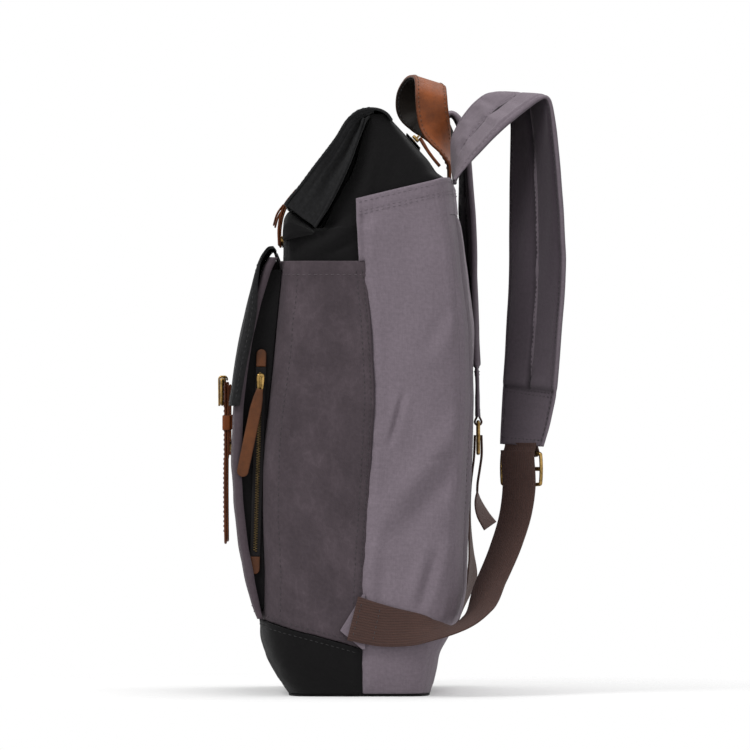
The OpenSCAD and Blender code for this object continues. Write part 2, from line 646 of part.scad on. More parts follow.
module tri_glide_right() { glide(glide_right, glide_turn_right); }
module tri_glide_left() { glide(glide_left, glide_turn_left); }

module strap_webbing_right() {
  color(brown) strip(webbing_right, webbing_right_dir, webbing_width / 2, webbing, webbing_narrow);
}
module strap_webbing_left() {
  color(brown) strip(webbing_left, webbing_left_dir, webbing_width / 2, webbing, webbing_narrow);
}
module webbing_end() {
  color(brown) strip(webbing_tail, [for (p = webbing_tail) [-1, 0, 0]], webbing_width / 2, webbing);
}

module side_tab() {
  color(grey) side_plate([[-16, 53], [2, 82], [4, 82], [4, 38], [2, 38]],
    half_width + seam_gap + tab_plate / 2, tab_plate);
}
module side_tab_right() { side_tab(); }
module side_tab_left() { mirror([1, 0, 0]) side_tab(); }

bottom_panel();
base_board();
base_boot();
side_panel_front_right();
side_panel_front_left();
side_panel_rear_right();
side_panel_rear_left();
front_panel();
back_panel();
back_foam();
inner_sleeve();
collar_front();
collar_back();
collar_gusset_right();
collar_gusset_left();
roll_outer();
roll_inner();
roll_gusset_right();
roll_gusset_left();
roll_strap_right();
roll_strap_left();
roll_studs();
rear_zip_tape();
rear_zip_teeth();
rear_zip_slider();
rear_zip_pull();
pocket_front();
pocket_gusset_right();
pocket_gusset_left();
pocket_zip_tape();
pocket_zip_teeth();
pocket_zip_tabs();
pocket_zip_slider();
pocket_zip_pull();
flap_seam();
front_flap();
flap_tab_right();
flap_tab_left();
flap_strap_right();
flap_strap_left();
flap_buckle_right();
flap_buckle_left();
flap_prong_right();
flap_prong_left();
flap_keeper_right();
flap_keeper_left();
flap_studs();
carry_handle();
shoulder_pad_right();
shoulder_pad_left();
strap_loop_right();
strap_loop_left();
tri_glide_right();
tri_glide_left();
strap_webbing_right();
strap_webbing_left();
webbing_end();
side_tab_right();
side_tab_left();
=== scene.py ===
import math

import bmesh
import bpy
import numpy as np
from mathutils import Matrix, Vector


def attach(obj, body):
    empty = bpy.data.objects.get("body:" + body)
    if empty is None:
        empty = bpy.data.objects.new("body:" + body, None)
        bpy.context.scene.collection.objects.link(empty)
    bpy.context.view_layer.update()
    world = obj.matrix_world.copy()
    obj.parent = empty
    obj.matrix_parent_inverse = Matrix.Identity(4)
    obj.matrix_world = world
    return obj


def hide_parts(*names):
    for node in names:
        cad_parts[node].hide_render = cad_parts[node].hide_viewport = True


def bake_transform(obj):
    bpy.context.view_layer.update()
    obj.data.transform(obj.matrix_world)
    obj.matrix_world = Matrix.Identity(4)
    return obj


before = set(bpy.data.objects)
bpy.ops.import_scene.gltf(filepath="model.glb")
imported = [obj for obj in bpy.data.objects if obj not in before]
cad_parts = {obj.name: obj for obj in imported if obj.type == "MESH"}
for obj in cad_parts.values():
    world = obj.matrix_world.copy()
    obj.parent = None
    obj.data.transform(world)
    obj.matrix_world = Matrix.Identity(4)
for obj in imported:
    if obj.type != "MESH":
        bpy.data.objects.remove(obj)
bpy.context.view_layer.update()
mm = 0.001
sides = ((1.0, "right"), (-1.0, "left"))


# shader wiring

class Tap:
    # a socket in a sum: each operator adds one Math node to the finish it belongs to
    def __init__(self, finish, socket):
        self.finish, self.socket = finish, socket

    def math(self, operation, a, b=0.0):
        return self.finish.node("ShaderNodeMath", {"operation": operation}, {0: a, 1: b})

    def __add__(self, other):
        return self.math("ADD", self, other)

    def __sub__(self, other):
        return self.math("SUBTRACT", self, other)

    def __rsub__(self, other):
        return self.math("SUBTRACT", other, self)

    def __mul__(self, other):
        return self.math("MULTIPLY", self, other)

    def __truediv__(self, other):
        return self.math("DIVIDE", self, other)

    def __pow__(self, other):
        return self.math("POWER", self, other)

    def __abs__(self):
        return self.math("ABSOLUTE", self)

    def sin(self):
        return self.math("SINE", self)

    def clamp(self):
        return self.math("MINIMUM", self.math("MAXIMUM", self, 0.0), 1.0)


class Finish:
    # a material or a world: node() adds any node, settings first and then its inputs
    def __init__(self, owner, shader="ShaderNodeBsdfPrincipled", out="ShaderNodeOutputMaterial"):
        owner.use_nodes = True
        self.owner, self.tree = owner, owner.node_tree
        self.tree.nodes.clear()
        self.shader = self.tree.nodes.new(shader)
        self.tree.links.new(self.shader.outputs[0], self.tree.nodes.new(out).inputs["Surface"])

    def put(self, target, value):
        if isinstance(value, Tap):
            self.tree.links.new(value.socket, target)
        else:
            target.default_value = value

    def node(self, kind, settings=None, inputs=None, out=0):
        made = self.tree.nodes.new(kind)
        for key, value in (settings or {}).items():
            setattr(made, key, value)
        for key, value in (inputs or {}).items():
            self.put(made.inputs[key], value)
        return Tap(self, made.outputs[out])

    def set(self, **inputs):
        for key, value in inputs.items():
            self.put(self.shader.inputs[key.replace("_", " ")], value)
        return self.owner

    def fill(self, *inputs):
        for target, value in zip(self.shader.inputs, inputs):
            self.put(target, value)
        return self.owner

    def noise(self, place, scale, detail=2.0, rough=0.5):
        return self.node("ShaderNodeTexNoise", {"noise_dimensions": "3D"},
                         {"Vector": place, "Scale": scale, "Detail": detail, "Roughness": rough})

    def streaks(self, place, x, y, detail, rough=0.5):
        # noise with its own scale along and across the cloth
        return self.noise(self.scaled(place, x, y, 1.0), 1.0, detail, rough)

    def mix(self, factor, a, b):
        return self.node("ShaderNodeMix", {"data_type": "RGBA"}, {0: factor, 6: a, 7: b}, 2)

    def scaled(self, place, x, y, z):
        return self.node("ShaderNodeVectorMath", {"operation": "MULTIPLY"}, {0: place, 1: (x, y, z)})

    def bump(self, height, strength, distance):
        inputs = {"Height": height, "Strength": strength, "Distance": distance}
        return self.node("ShaderNodeBump", None, inputs)

    def objectPlace(self):
        # place on the object in millimetres
        return self.scaled(self.node("ShaderNodeTexCoord", out=3), 1 / mm, 1 / mm, 1 / mm)

    def clothPlace(self):
        # place on the unrolled cloth in millimetres, followed by its two parts
        place = self.scaled(self.node("ShaderNodeUVMap", {"uv_map": "cloth"}), 1 / mm, 1 / mm, 1.0)
        return place, *[self.node("ShaderNodeSeparateXYZ", None, {0: place}, k) for k in (0, 1)]

    def painted(self, name):
        # value kept on the mesh under that name
        return self.node("ShaderNodeAttribute", {"attribute_name": name}, out=2)


def newFinish(name):
    # an empty finish
    return Finish(bpy.data.materials.new(name))


def tone(r, g, b):
    # screen colour 0-255 to the linear colour a shader takes
    c = np.array([r, g, b]) / 255.0
    linear = np.where(c <= 0.04045, c / 12.92, ((c + 0.055) / 1.055) ** 2.4)
    return (*[float(v) for v in linear], 1.0)


def tint(colour, gain):
    return (*[min(1.0, v * gain) for v in colour[:3]], 1.0)


def clothFinish(name, colour, thread=1.2, uneven=0.16, rough=0.85, sheen=0.12, lining=None, wax=0.0):
    # woven canvas: two crossed waves give the weave, stretched noise the uneven threads, broad noise the fade
    f = newFinish(name)
    place, x, y = f.clothPlace()
    turn = 2 * math.pi / thread
    cross = (x * turn).sin() * (y * turn).sin()
    slub = (f.streaks(place, 1.1, 0.06, 2.0) + f.streaks(place, 0.06, 1.1, 2.0)) * 0.5
    fade = f.streaks(place, 0.012, 0.012, 3.0)
    mottle = f.streaks(place, 0.34, 0.34, 4.0, 0.65)
    shade = slub - 0.5 + (mottle - 0.5) * 1.5 + (fade - 0.5) * 1.1 + cross * 0.12
    shade = (shade * uneven * 2.0 + 0.5).clamp()
    base = f.mix(shade, tint(colour, 0.62), tint(colour, 1.42))
    if wax:
        # rubbed creases and bare patches of the wax
        crease = (1.0 - abs(f.streaks(place, 0.075, 0.05, 5.0, 0.6) * 2.0 - 1.0)) ** 14.0
        bare = ((f.streaks(place, 0.03, 0.022, 4.0, 0.6) - 0.44) * 3.2).clamp()
        rub = (crease * (bare * 0.4 + 0.15) * wax + bare * 0.55 * wax).clamp()
        base = f.mix(rub, base, tint(colour, 1.95))
    # darker lining cloth on the inner face of a pad, mixed in by the lining value; along a strap that value
    # also carries painted light
    if lining:
        base = f.mix(f.painted("lining"), base, f.mix(shade, tint(lining, 0.75), tint(lining, 1.3)))
        # painted shade: on a pad the edge value darkens its sewn channel, its topstitching lines and its
        # stitched ends towards a deep lining tone
        base = f.mix(f.painted("edge") * 0.75, base, tint(lining, 0.35))
    weave = f.bump(cross * 0.5 + slub * 1.4, 0.5, 0.0004)
    return f.set(Base_Color=base, Roughness=(slub - 0.5) * 0.2 + rough, Specular_IOR_Level=0.15,
                 Sheen_Weight=sheen, Sheen_Roughness=0.5, Normal=weave)


def leatherFinish(name, colour, uneven=0.35):
    # oiled leather: cloudy pull-up tone, cellular grain, darker burnished edges and a near-black inside face
    # where the lining value is set
    f = newFinish(name)
    place = f.objectPlace()
    fine = f.noise(place, 0.9, 3.0, 0.6)
    grain = f.node("ShaderNodeTexVoronoi", {"feature": "DISTANCE_TO_EDGE"}, {"Vector": place, "Scale": 0.9})
    shade = (f.noise(place, 0.06, 4.0, 0.6) - 0.5) * 2.4 * uneven * 2.0 + (fine - 0.5) * 0.5 + 0.5
    base = f.mix(shade.clamp(), tint(colour, 0.42), tint(colour, 1.5))
    base = f.mix(f.painted("edge") * 0.6, base, tint(colour, 0.3))
    base = f.mix(f.painted("lining"), base, tone(24, 18, 13))
    return f.set(Base_Color=base, Roughness=(fine - 0.5) * 0.3 + 0.5, Specular_IOR_Level=0.28,
                 Normal=f.bump((grain * 2.0).clamp() + fine * 0.6, 0.35, 0.0003))


def brassFinish(name, colour):
    # aged brass: brown patina in cloudy patches, brushed gloss where it is rubbed
    f = newFinish(name)
    place = f.objectPlace()
    fine = f.noise(place, 2.5)
    dull = ((f.noise(place, 0.25, 5.0, 0.65) - 0.42) * 4.0).clamp()
    return f.set(Base_Color=f.mix(dull, colour, tint(colour, 0.35)), Metallic=1.0,
                 Roughness=dull * 0.22 + fine * 0.12 + 0.2, Normal=f.bump(fine, 0.12, 0.0002))


def webbingFinish(name, colour, ribWide=2.1, pickWide=1.3):
    # ribbed cotton webbing: lengthwise ribs with a slanted pick across them
    f = newFinish(name)
    place, x, y = f.clothPlace()
    rib = (x * (2 * math.pi / ribWide)).sin()
    pick = ((y + abs(rib) * 0.5) * (2 * math.pi / pickWide)).sin()
    slub = f.streaks(place, 0.9, 0.12, 3.0)
    shade = rib * 0.14 + pick * 0.12 + (slub - 0.5) * 1.1 + 0.5
    return f.set(Base_Color=f.mix(shade.clamp(), tint(colour, 0.6), tint(colour, 1.5)), Roughness=0.8,
                 Sheen_Weight=0.03, Normal=f.bump(rib + pick * 0.6 + slub, 0.5, 0.0004))


def threadFinish(name, colour):
    # sewing thread, unevenly dyed
    f = newFinish(name)
    ply = f.noise(f.objectPlace(), 1.6)
    return f.set(Base_Color=f.mix(ply, tint(colour, 0.6), tint(colour, 1.3)), Roughness=0.6)


greyCanvas = clothFinish("grey_canvas_finish", tone(126, 115, 124), uneven=0.24)
# pocket canvas darker than the grey canvas: partly the pocket's own darker cloth, partly painted shade for
# its curved edge beside the flap
pocketCanvasAndShade = clothFinish("pocket_canvas_finish", tone(80, 70, 76), uneven=0.24, rough=0.75,
                           sheen=0.04)
padCanvas = clothFinish("pad_canvas_finish", tone(113, 103, 111), uneven=0.2,
                        lining=tone(54, 46, 53))
waxedCanvas = clothFinish("waxed_canvas_finish", tone(74, 65, 70), uneven=0.24, rough=0.75,
                          sheen=0.04, wax=0.8)
blackCanvas = clothFinish("black_canvas_finish", tone(15, 14, 15), uneven=0.5, sheen=0.06)
# lighter black for the roll and the flap: painted sheen, the lift in tone stands in for the soft sheen on
# their faces; the strong mottling is uneven tone
sheenBlack = clothFinish("faded_black_finish", tone(32, 32, 33), uneven=0.8, sheen=0.06)
tapeCloth = clothFinish("zip_tape_finish", tone(27, 25, 26), thread=0.8)
tanLeather = leatherFinish("tan_leather_finish", tone(121, 61, 21))
# darker leather for the pocket zip's pull and stops
darkLeather = leatherFinish("old_leather_finish", tone(88, 48, 20))
fibreBoard = leatherFinish("fibre_board_finish", tone(70, 54, 42), 0.2)
agedBrass = brassFinish("aged_brass_finish", tone(158, 128, 76))
dullBrass = brassFinish("dull_brass_finish", tone(96, 80, 52))
brownWebbing = webbingFinish("brown_webbing_finish", tone(62, 38, 31))
greyThread = threadFinish("grey_thread_finish", tone(118, 108, 116))
fadedThread = threadFinish("faded_thread_finish", tone(88, 79, 84))
darkThread = threadFinish("dark_thread_finish", tone(56, 50, 54))
blackThread = threadFinish("black_thread_finish", tone(21, 20, 22))
leatherThread = threadFinish("leather_thread_finish", tone(96, 62, 40))
print("finishes made")


# shape helpers, all in millimetres

def ramp(x):
    return np.clip(x, 0, 1)


def bell(x, width):
    return np.exp(-(x / width) ** 2)


def unit(v):
    return v / np.maximum(np.linalg.norm(v, axis=-1, keepdims=True), 1e-9)


def lengths(path):
    # distance from the start at each point of a path
    return np.r_[0.0, np.cumsum(np.linalg.norm(np.diff(path, axis=0), axis=1))]


def carried(places, reach, rows):
    # columns of values given at the distances reach, read off at other places
    return np.stack([np.interp(places, reach, column) for column in np.array(rows, float).T], -1)


def eased(values, count, spread, **ends):
    # running mean with bell weights; ends says how the row goes on past its ends
    weights = np.exp(-0.5 * (np.arange(-count, count + 1) / spread) ** 2)
    return np.convolve(np.pad(values, count, **ends), weights / weights.sum(), "valid")


def along(table, soft=0.0):
    # value on a polyline of (place, value); soft rounds its corners by a running mean of that half length
    t = np.array(table, float)
    if not soft:
        return lambda z: np.interp(z, t[:, 0], t[:, 1])
    reach, step = 4 * soft, 0.5
    first = (t[1, 1] - t[0, 1]) / (t[1, 0] - t[0, 0])
    last = (t[-1, 1] - t[-2, 1]) / (t[-1, 0] - t[-2, 0])
    places = np.r_[t[0, 0] - reach, t[:, 0], t[-1, 0] + reach]
    values = np.r_[t[0, 1] - first * reach, t[:, 1], t[-1, 1] + last * reach]
    fine = np.arange(places[0], places[-1], step)
    weights = np.exp(-0.5 * (np.arange(-reach, reach + 0.1, step) / soft) ** 2)
    level = np.pad(np.interp(fine, places, values), len(weights) // 2, mode="reflect", reflect_type="odd")
    rounded = np.convolve(level, weights / weights.sum(), "valid")
    return lambda z: np.interp(z, fine, rounded)


def smoothPath(points, count):
    # cubic through the points, sampled at equal steps of chord length
    p = np.array(points, float)
    d = lengths(p)
    m = np.gradient(p, d, axis=0)
    t = np.linspace(0.0, d[-1], count)
    i = np.clip(np.searchsorted(d, t, "right") - 1, 0, len(d) - 2)
    h = (d[i + 1] - d[i])[:, None]
    x = (t - d[i])[:, None] / h
    return ((1 + 2 * x) * (1 - x) ** 2 * p[i] + x * (1 - x) ** 2 * h * m[i]
            + x ** 2 * (3 - 2 * x) * p[i + 1] + x ** 2 * (x - 1) * h * m[i + 1])


def between(grid, i, j, a, b):
    # value of a grid inside the cell of row i and column j
    return ((grid[i, j] * (1 - a) + grid[i + 1, j] * a) * (1 - b)
            + (grid[i, j + 1] * (1 - a) + grid[i + 1, j + 1] * a) * b)


def cloud(u, v, seed, size=64):
    # smooth heights from -1 to 1 on a seeded lattice that repeats, one cell per unit
    lattice = np.pad(np.random.default_rng(seed).uniform(-1, 1, (size, size)), (0, 1), mode="wrap")
    i, j = np.floor(u).astype(int), np.floor(v).astype(int)
    a, b = u - i, v - j
    a, b = a * a * a * (a * (a * 6 - 15) + 10), b * b * b * (b * (b * 6 - 15) + 10)
    return between(lattice, i % size, j % size, a, b)


def crumple(u, v, *waves):
    # unevenness of a cloth: waves of (height, length along u, length along v, seed)
    return sum(height * cloud(u / wide, v / tall, seed) for height, wide, tall, seed in waves)


def fold(s, t, start, end, width, height):
    # a ridge (or hollow) along a line, bell shaped across and fading out towards both ends
    a = np.array(start, float)
    d = np.array(end, float) - a
    size = np.hypot(*d)
    k = ((s - a[0]) * d[0] + (t - a[1]) * d[1]) / size ** 2
    off = ((s - a[0]) * d[1] - (t - a[1]) * d[0]) / size
    return height * bell(off, width) * ramp(1 - (2 * k - 1) ** 2)


def sideFolds(p, folds):
    # all folds of a side panel, placed by depth and height
    return sum(fold(p[..., 1], p[..., 2], *one) for one in folds)


def section(a, b, ang, power):
    # rounded section of half width a and half depth b in the direction ang
    r = (np.abs(np.cos(ang) / a) ** power + np.abs(np.sin(ang) / b) ** power) ** (-1 / power)
    return r * np.cos(ang), r * np.sin(ang)


def circle(count):
    return np.linspace(0, 2 * np.pi, count, endpoint=False)


def gridNormals(p):
    # outward direction of a grid, from the slopes along its rows and columns
    return unit(np.cross(np.gradient(p, axis=1), np.gradient(p, axis=0)))


def gridLengths(p):
    # distance along each row and each column of a grid
    s = np.zeros(p.shape[:2])
    t = np.zeros(p.shape[:2])
    s[:, 1:] = np.cumsum(np.linalg.norm(np.diff(p, axis=1), axis=2), axis=1)
    t[1:] = np.cumsum(np.linalg.norm(np.diff(p, axis=0), axis=2), axis=0)
    return s, t


def margins(p):
    # distance of each grid point from the first column, the last column, the bottom row and the top row
    s, t = gridLengths(p)
    return s, s[:, -1:] - s, t, t[-1:] - t


def swell(p, height):
    return p + gridNormals(p) * height[..., None]


def putMesh(name, verts, faces, uv=None, edge=None, lining=None):
    # mesh from arrays in millimetres; uv, edge and lining hold one value a vertex
    mesh = bpy.data.meshes.new(name)
    mesh.from_pydata((np.asarray(verts) * mm).tolist(), [], [list(f) for f in faces])
    loops = np.zeros(len(mesh.loops), int)
    mesh.loops.foreach_get("vertex_index", loops)
    if uv is not None:
        layer = mesh.uv_layers.new(name="cloth")
        layer.data.foreach_set("uv", (np.asarray(uv)[loops] * mm).astype(np.float32).ravel())
    for key, value in (("edge", edge), ("lining", lining)):
        if value is not None:
            painted = mesh.attributes.new(key, "FLOAT", "POINT")
            painted.data.foreach_set("value", np.asarray(value, np.float32).ravel())
    mesh.polygons.foreach_set("use_smooth", np.ones(len(mesh.polygons), bool))
    mesh.update()
    made = bpy.data.objects.new(name, mesh)
    bpy.context.collection.objects.link(made)
    return made


def finishPiece(piece, material, body, nodes=()):
    # material, body and the CAD nodes that the piece stands for
    piece.data.materials.append(material)
    if body:
        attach(piece, body)
    if nodes:
        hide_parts(*nodes)
    return piece


def quads(rows, cols, wrap=False):
    # faces of a grid; wrap joins the last column to the first
    i, j = np.meshgrid(np.arange(rows - 1), np.arange(cols if wrap else cols - 1), indexing="ij")
    n = (j + 1) % cols
    return np.stack([i * cols + j, i * cols + n, (i + 1) * cols + n, (i + 1) * cols + j], -1).reshape(-1, 4)


def sheetPiece(name, p, thick, mirror=False):
    # cloth sheet from a grid whose rows go up and columns anticlockwise, thickened inwards
    uv = np.stack(gridLengths(p), -1).reshape(-1, 2)
    faces = quads(*p.shape[:2])
    if mirror:
        p, faces = p * np.array([-1.0, 1.0, 1.0]), faces[:, ::-1]
    piece = putMesh(name, p.reshape(-1, 3), faces.tolist(), uv)
    wall = piece.modifiers.new("wall", "SOLIDIFY")
    wall.thickness, wall.offset, wall.use_even_offset = thick * mm, -1.0, False
    return piece


def tubePiece(name, rings, edge=None, lining=None):
    # closed band through rings of points, its two ends shut by fans round their centres
    rows, cols = rings.shape[:2]
    step = np.linalg.norm(np.roll(rings, -1, axis=1) - rings, axis=2)
    s = np.cumsum(step, axis=1) - step
    mid = rings.mean(axis=1)
    uv = np.stack([s, np.repeat(lengths(mid)[:, None], cols, axis=1)], -1).reshape(-1, 2)
    uv = np.vstack([uv, uv[:1], uv[-1:]])
    verts = np.vstack([rings.reshape(-1, 3), mid[:1], mid[-1:]])
    k, last = np.arange(cols), (rows - 1) * cols
    n = (k + 1) % cols
    faces = quads(rows, cols, True).tolist()
    faces += np.stack([np.full(cols, rows * cols), n, k], -1).tolist()
    faces += np.stack([np.full(cols, rows * cols + 1), last + k, last + n], -1).tolist()
    grown = lambda v: None if v is None else np.r_[v.ravel(), v.ravel()[0], v.ravel()[-1]]
    return putMesh(name, verts, faces, uv, grown(edge), grown(lining))


def strapRings(path, across, half, thick, power=7.0, count=28):
    # rounded flat section carried along a path; half width and thickness may change on the way
    ahead = unit(np.gradient(path, axis=0))
    normal = unit(np.cross(ahead, np.broadcast_to(across, path.shape)))
    side = unit(np.cross(normal, ahead))
    c, d = section(1.0, 1.0, circle(count) + np.pi / count, power)
    half, thick = np.broadcast_to(half, len(path)), np.broadcast_to(thick, len(path))
    ring = (path[:, None, :] + side[:, None, :] * (half[:, None] * c[None])[..., None]
            + normal[:, None, :] * (thick[:, None] / 2 * d[None])[..., None])
    edge = np.broadcast_to(ramp((np.abs(c) - 0.86) / 0.12), ring.shape[:2])
    return ring, edge, side, normal


def joinDoubles(piece):
    # merges doubled points and turns the faces outwards
    shape = bmesh.new()
    shape.from_mesh(piece.data)
    bmesh.ops.remove_doubles(shape, verts=shape.verts, dist=0.00001)
    bmesh.ops.recalc_face_normals(shape, faces=shape.faces)
    shape.to_mesh(piece.data)
    shape.free()


def loopPiece(name, rings, edge=None):
    # closed band whose last ring is its first
    piece = putMesh(name, rings.reshape(-1, 3), quads(*rings.shape[:2], True).tolist(), edge=edge)
    joinDoubles(piece)
    return piece


def wirePiece(name, path, radius, closed=True, count=12):
    # round wire along a path in space; closed joins its last ring to the first
    ahead = np.roll(path, -1, axis=0) - np.roll(path, 1, axis=0) if closed else np.gradient(path, axis=0)
    flat = unit(np.linalg.svd(path - path.mean(axis=0))[2][2][None])
    side = unit(np.cross(unit(ahead), np.broadcast_to(flat, ahead.shape)))
    a = circle(count)
    rings = (path[:, None] + side[:, None] * (np.cos(a) * radius)[None, :, None]
             + flat[None] * (np.sin(a) * radius)[None, :, None])
    return loopPiece(name, np.concatenate([rings, rings[:1]])) if closed else tubePiece(name, rings)


stitchRows = {}


def stitch(key, path, normal, long=3.0, gap=1.4, radius=0.32):
    # remembers a row of stitches at equal steps on a path, with their direction and the cloth's outward side
    d = lengths(path)
    count = max(2, int(d[-1] / (long + gap)))
    t = (np.arange(count) + 0.5) * d[-1] / count
    ahead, up = (unit(carried(t, d, v)) for v in (np.gradient(path, axis=0), normal))
    row = carried(t, d, path), ahead, up, np.full(count, long), np.full(count, radius)
    stitchRows.setdefault(key, []).append(row)


def sewAll(rings=5, points=6):
    # one mesh for each key (body, thread, name): every stitch is a short bent thread of a few rings
    k = np.linspace(-1, 1, rings)
    lift = 0.55 - 1.15 * k ** 4
    thin = np.sqrt(ramp(1.02 - k ** 6))
    a = circle(points)
    for (body, thread, name), rows in stitchRows.items():
        p, ahead, up, long, radius = (np.concatenate([r[i] for r in rows]) for i in range(5))
        side = unit(np.cross(up, ahead))
        axis = p[:, None] + ahead[:, None] * (long[:, None] / 2 * k)[..., None]
        axis = axis + up[:, None] * (radius[:, None] * lift)[..., None]
        ring = radius[:, None, None] * thin[None, :, None]
        verts = (axis[:, :, None] + side[:, None, None] * (ring * np.cos(a))[..., None]
                 + up[:, None, None] * (ring * np.sin(a))[..., None])
        start = np.arange(len(p))[:, None] * rings * points
        faces = (quads(rings, points, True)[None] + start[..., None]).reshape(-1, 4).tolist()
        faces += (start + np.arange(points)[::-1]).tolist()
        faces += (start + (rings - 1) * points + np.arange(points)).tolist()
        finishPiece(putMesh(name, verts.reshape(-1, 3), faces), bpy.data.materials[thread], body)


def lineAt(p, reach, distance, low, high, upright):
    # grid path at a distance from the bottom edge, or from the first column where it is upright; a negative
    # distance counts from the opposite edge
    run = np.linspace(low * (reach.shape[1] - 1), high * (reach.shape[1] - 1), 300)
    near = np.clip(np.round(run).astype(int), 0, reach.shape[1] - 1)
    goal = [distance if distance >= 0 else reach[-1, k] + distance for k in near]
    off = np.array([np.interp(g, reach[:, k], np.arange(len(reach))) for g, k in zip(goal, near)])
    rows, cols = (run, off) if upright else (off, run)
    i = np.clip(np.floor(rows).astype(int), 0, p.shape[0] - 2)
    j = np.clip(np.floor(cols).astype(int), 0, p.shape[1] - 2)
    cell = i, j, (rows - i)[:, None], (cols - j)[:, None]
    return between(p, *cell), unit(between(gridNormals(p), *cell))


def sew(key, p, cols=(), rows=(), hands=(1.0,)):
    # lines of stitches on a panel, each as (distance from its edge, start, end), on one hand or on both
    s, t = gridLengths(p)
    for reach, lines, upright in ((s.T, cols, True), (t, rows, False)):
        for line in lines:
            path, normal = lineAt(p, reach, *line, upright)
            for hand in hands:
                flip = np.array([hand, 1.0, 1.0])
                stitch(key, path * flip, normal * flip)


bothHands = (1.0, -1.0)
greySeam = ("bag", greyThread.name, "grey_stitches")
hemSeam = ("bag", fadedThread.name, "hem_stitches")
darkSeam = ("bag", darkThread.name, "dark_stitches")
blackSeam = ("bag", blackThread.name, "black_stitches")
rollSeam = ("roll", blackThread.name, "roll_stitches")
flapSeam = ("flap", blackThread.name, "flap_stitches")
laceSeam = ("flap", greyThread.name, "lace_stitches")
webSeam = ("bag", darkThread.name, "web_stitches")


# body of the bag

bag = {"halfWidth": 150.0, "power": 8.0, "cloth": 2.0, "seam": 0.15, "bootTop": 61.0, "bootSide": 38.0,
    "waxedTop": 349.0, "rearLow": 399.0, "backTop": 416.0, "floor": 2.3, "cornerFront": 1.08,
    "cornerRear": 0.95}
frontLine = along([[0, -57], [7, -61], [14, -67], [32, -76], [46, -80], [62, -80.5], [100, -80], [150, -82],
    [182, -82], [206, -80], [232, -77], [262, -73.5], [294, -70.5], [349, -65]], 3.0)
backLine = along([[0, 56], [8, 59], [20, 62], [34, 64], [46, 71], [62, 80], [86, 84], [142, 85.5],
    [198, 88], [238, 89.5], [294, 88], [366, 80], [417, 73.5]], 4.0)
sideLine = along([[0, -12], [20, -5], [60, 0], [300, 0], [417, -4]], 6.0)
seamLine = along([[0, 2], [62, 2], [110, 4], [142, 6.5], [198, 9.5], [238, 12], [300, 9], [350, 4],
    [399, 1.5]], 8.0)


def bodyHalf(z):
    return bag["halfWidth"] + sideLine(z)


def bodyMid(z):
    return (frontLine(z) + backLine(z)) / 2


def bodyDepth(z):
    return (backLine(z) - frontLine(z)) / 2


def midAngle(z):
    return np.arctan2(seamLine(z) - bodyMid(z), bodyHalf(z))


def frontAngle(z):
    return -np.arctan2(bag["cornerFront"] * bodyDepth(z), bodyHalf(z))


def rearAngle(z):
    return np.arctan2(bag["cornerRear"] * bodyDepth(z), bodyHalf(z))


def bodyPoint(z, ang, inset=0.0):
    x, y = section(bodyHalf(z) - inset, bodyDepth(z) - inset, ang, bag["power"])
    return np.stack([x, bodyMid(z) + y, z], -1)


def loft(point, low, high, left, right, rows, cols, ease=lambda u: u, inset=0.0):
    # grid of a panel between two heights and two seam directions, point(z, direction, inset) giving its place
    u = ease(np.linspace(0, 1, cols))[None]
    z = low(u) + (high(u) - low(u)) * np.linspace(0, 1, rows)[:, None]
    seam = bag["seam"] / bag["halfWidth"]
    return point(z, left(z) + seam + (right(z) - left(z) - 2 * seam) * u, inset)


def slant(start, end=None):
    # edge of a panel that goes from one height to another, or stays level
    return lambda u: start + (0 if end is None else end - start) * u


def bothEnds(u):
    return (1 - np.cos(np.pi * u)) / 2


def nearEnd(u):
    return 1 - np.cos(np.pi / 2 * u)


def farEnd(u):
    return np.sin(np.pi / 2 * u)


def seamDip(d, run, seed, deep=1.2):
    # cloth drawn in along a seam: a narrow groove, a low welt beside it and small puckers that die away
    puckers = 0.5 * cloud(run / 8.0, d / 30.0, seed) * np.exp(-d / 9.0)
    return -deep * bell(d, 2.2) + 0.45 * bell(d - 6.5, 3.0) + puckers


def hem(d, wide):
    # doubled cloth along a free edge, with the stitch line pressed in at its inner side
    return 0.5 / (1 + np.exp((d - wide) * 2.0)) - 0.5 * bell(d - wide + 2.0, 1.1)


def clothPanel(name, p, material, nodes, body="bag", thick=2.0, mirror=False, slot=None):
    return finishPiece(sheetPiece(name, p, thick, mirror), material, body, nodes)


def bothPanels(name, node, p, material, **facts):
    # the same panel on the right and, mirrored, on the left
    for sign, word in sides:
        clothPanel(name + word, p, material, [node + word], mirror=sign < 0, **facts)


def declareSheet(piece, p):
    # the size a sheet was cut to: its longest row by its longest column
    flat = tuple(round(float(reach.max()) * mm, 4) for reach in gridLengths(p))
    print(piece.name, "cut", flat)


greySide = {"rows": 220, "cols": 120, "hem": 13.0, "lap": 5.0,
    "folds": [((36, 247), (23, 199), 2.6, -3.0), ((41, 246), (29, 198), 5.0, 1.5),
    ((30, 240), (19, 200), 4.5, 1.0), ((96, 236), (10, 132), 12.0, 4.6), ((97, 214), (24, 116), 11.0, -4.2),
    ((92, 196), (50, 188), 2.6, -1.2), ((40, 72), (54, 126), 5.0, 2.3), ((47, 66), (62, 120), 4.0, -2.3),
    ((58, 70), (70, 126), 5.0, 2.0), ((14, 60), (22, 114), 5.0, -1.6), ((3, 374), (10, 396), 5.0, -2.3),
    ((20, 150), (8, 96), 5.0, 1.8), ((86, 330), (60, 262), 9.0, 2.2), ((74, 318), (50, 270), 7.0, -1.8),
    ((30, 330), (22, 250), 9.0, -1.3)]}
floorEdge = slant(bag["floor"])
p = loft(bodyPoint, floorEdge, slant(bag["rearLow"], bag["backTop"]),
         lambda z: midAngle(z) - greySide["lap"] / bag["halfWidth"], rearAngle,
         greySide["rows"], greySide["cols"], farEnd)
left, right, low, top = margins(p)
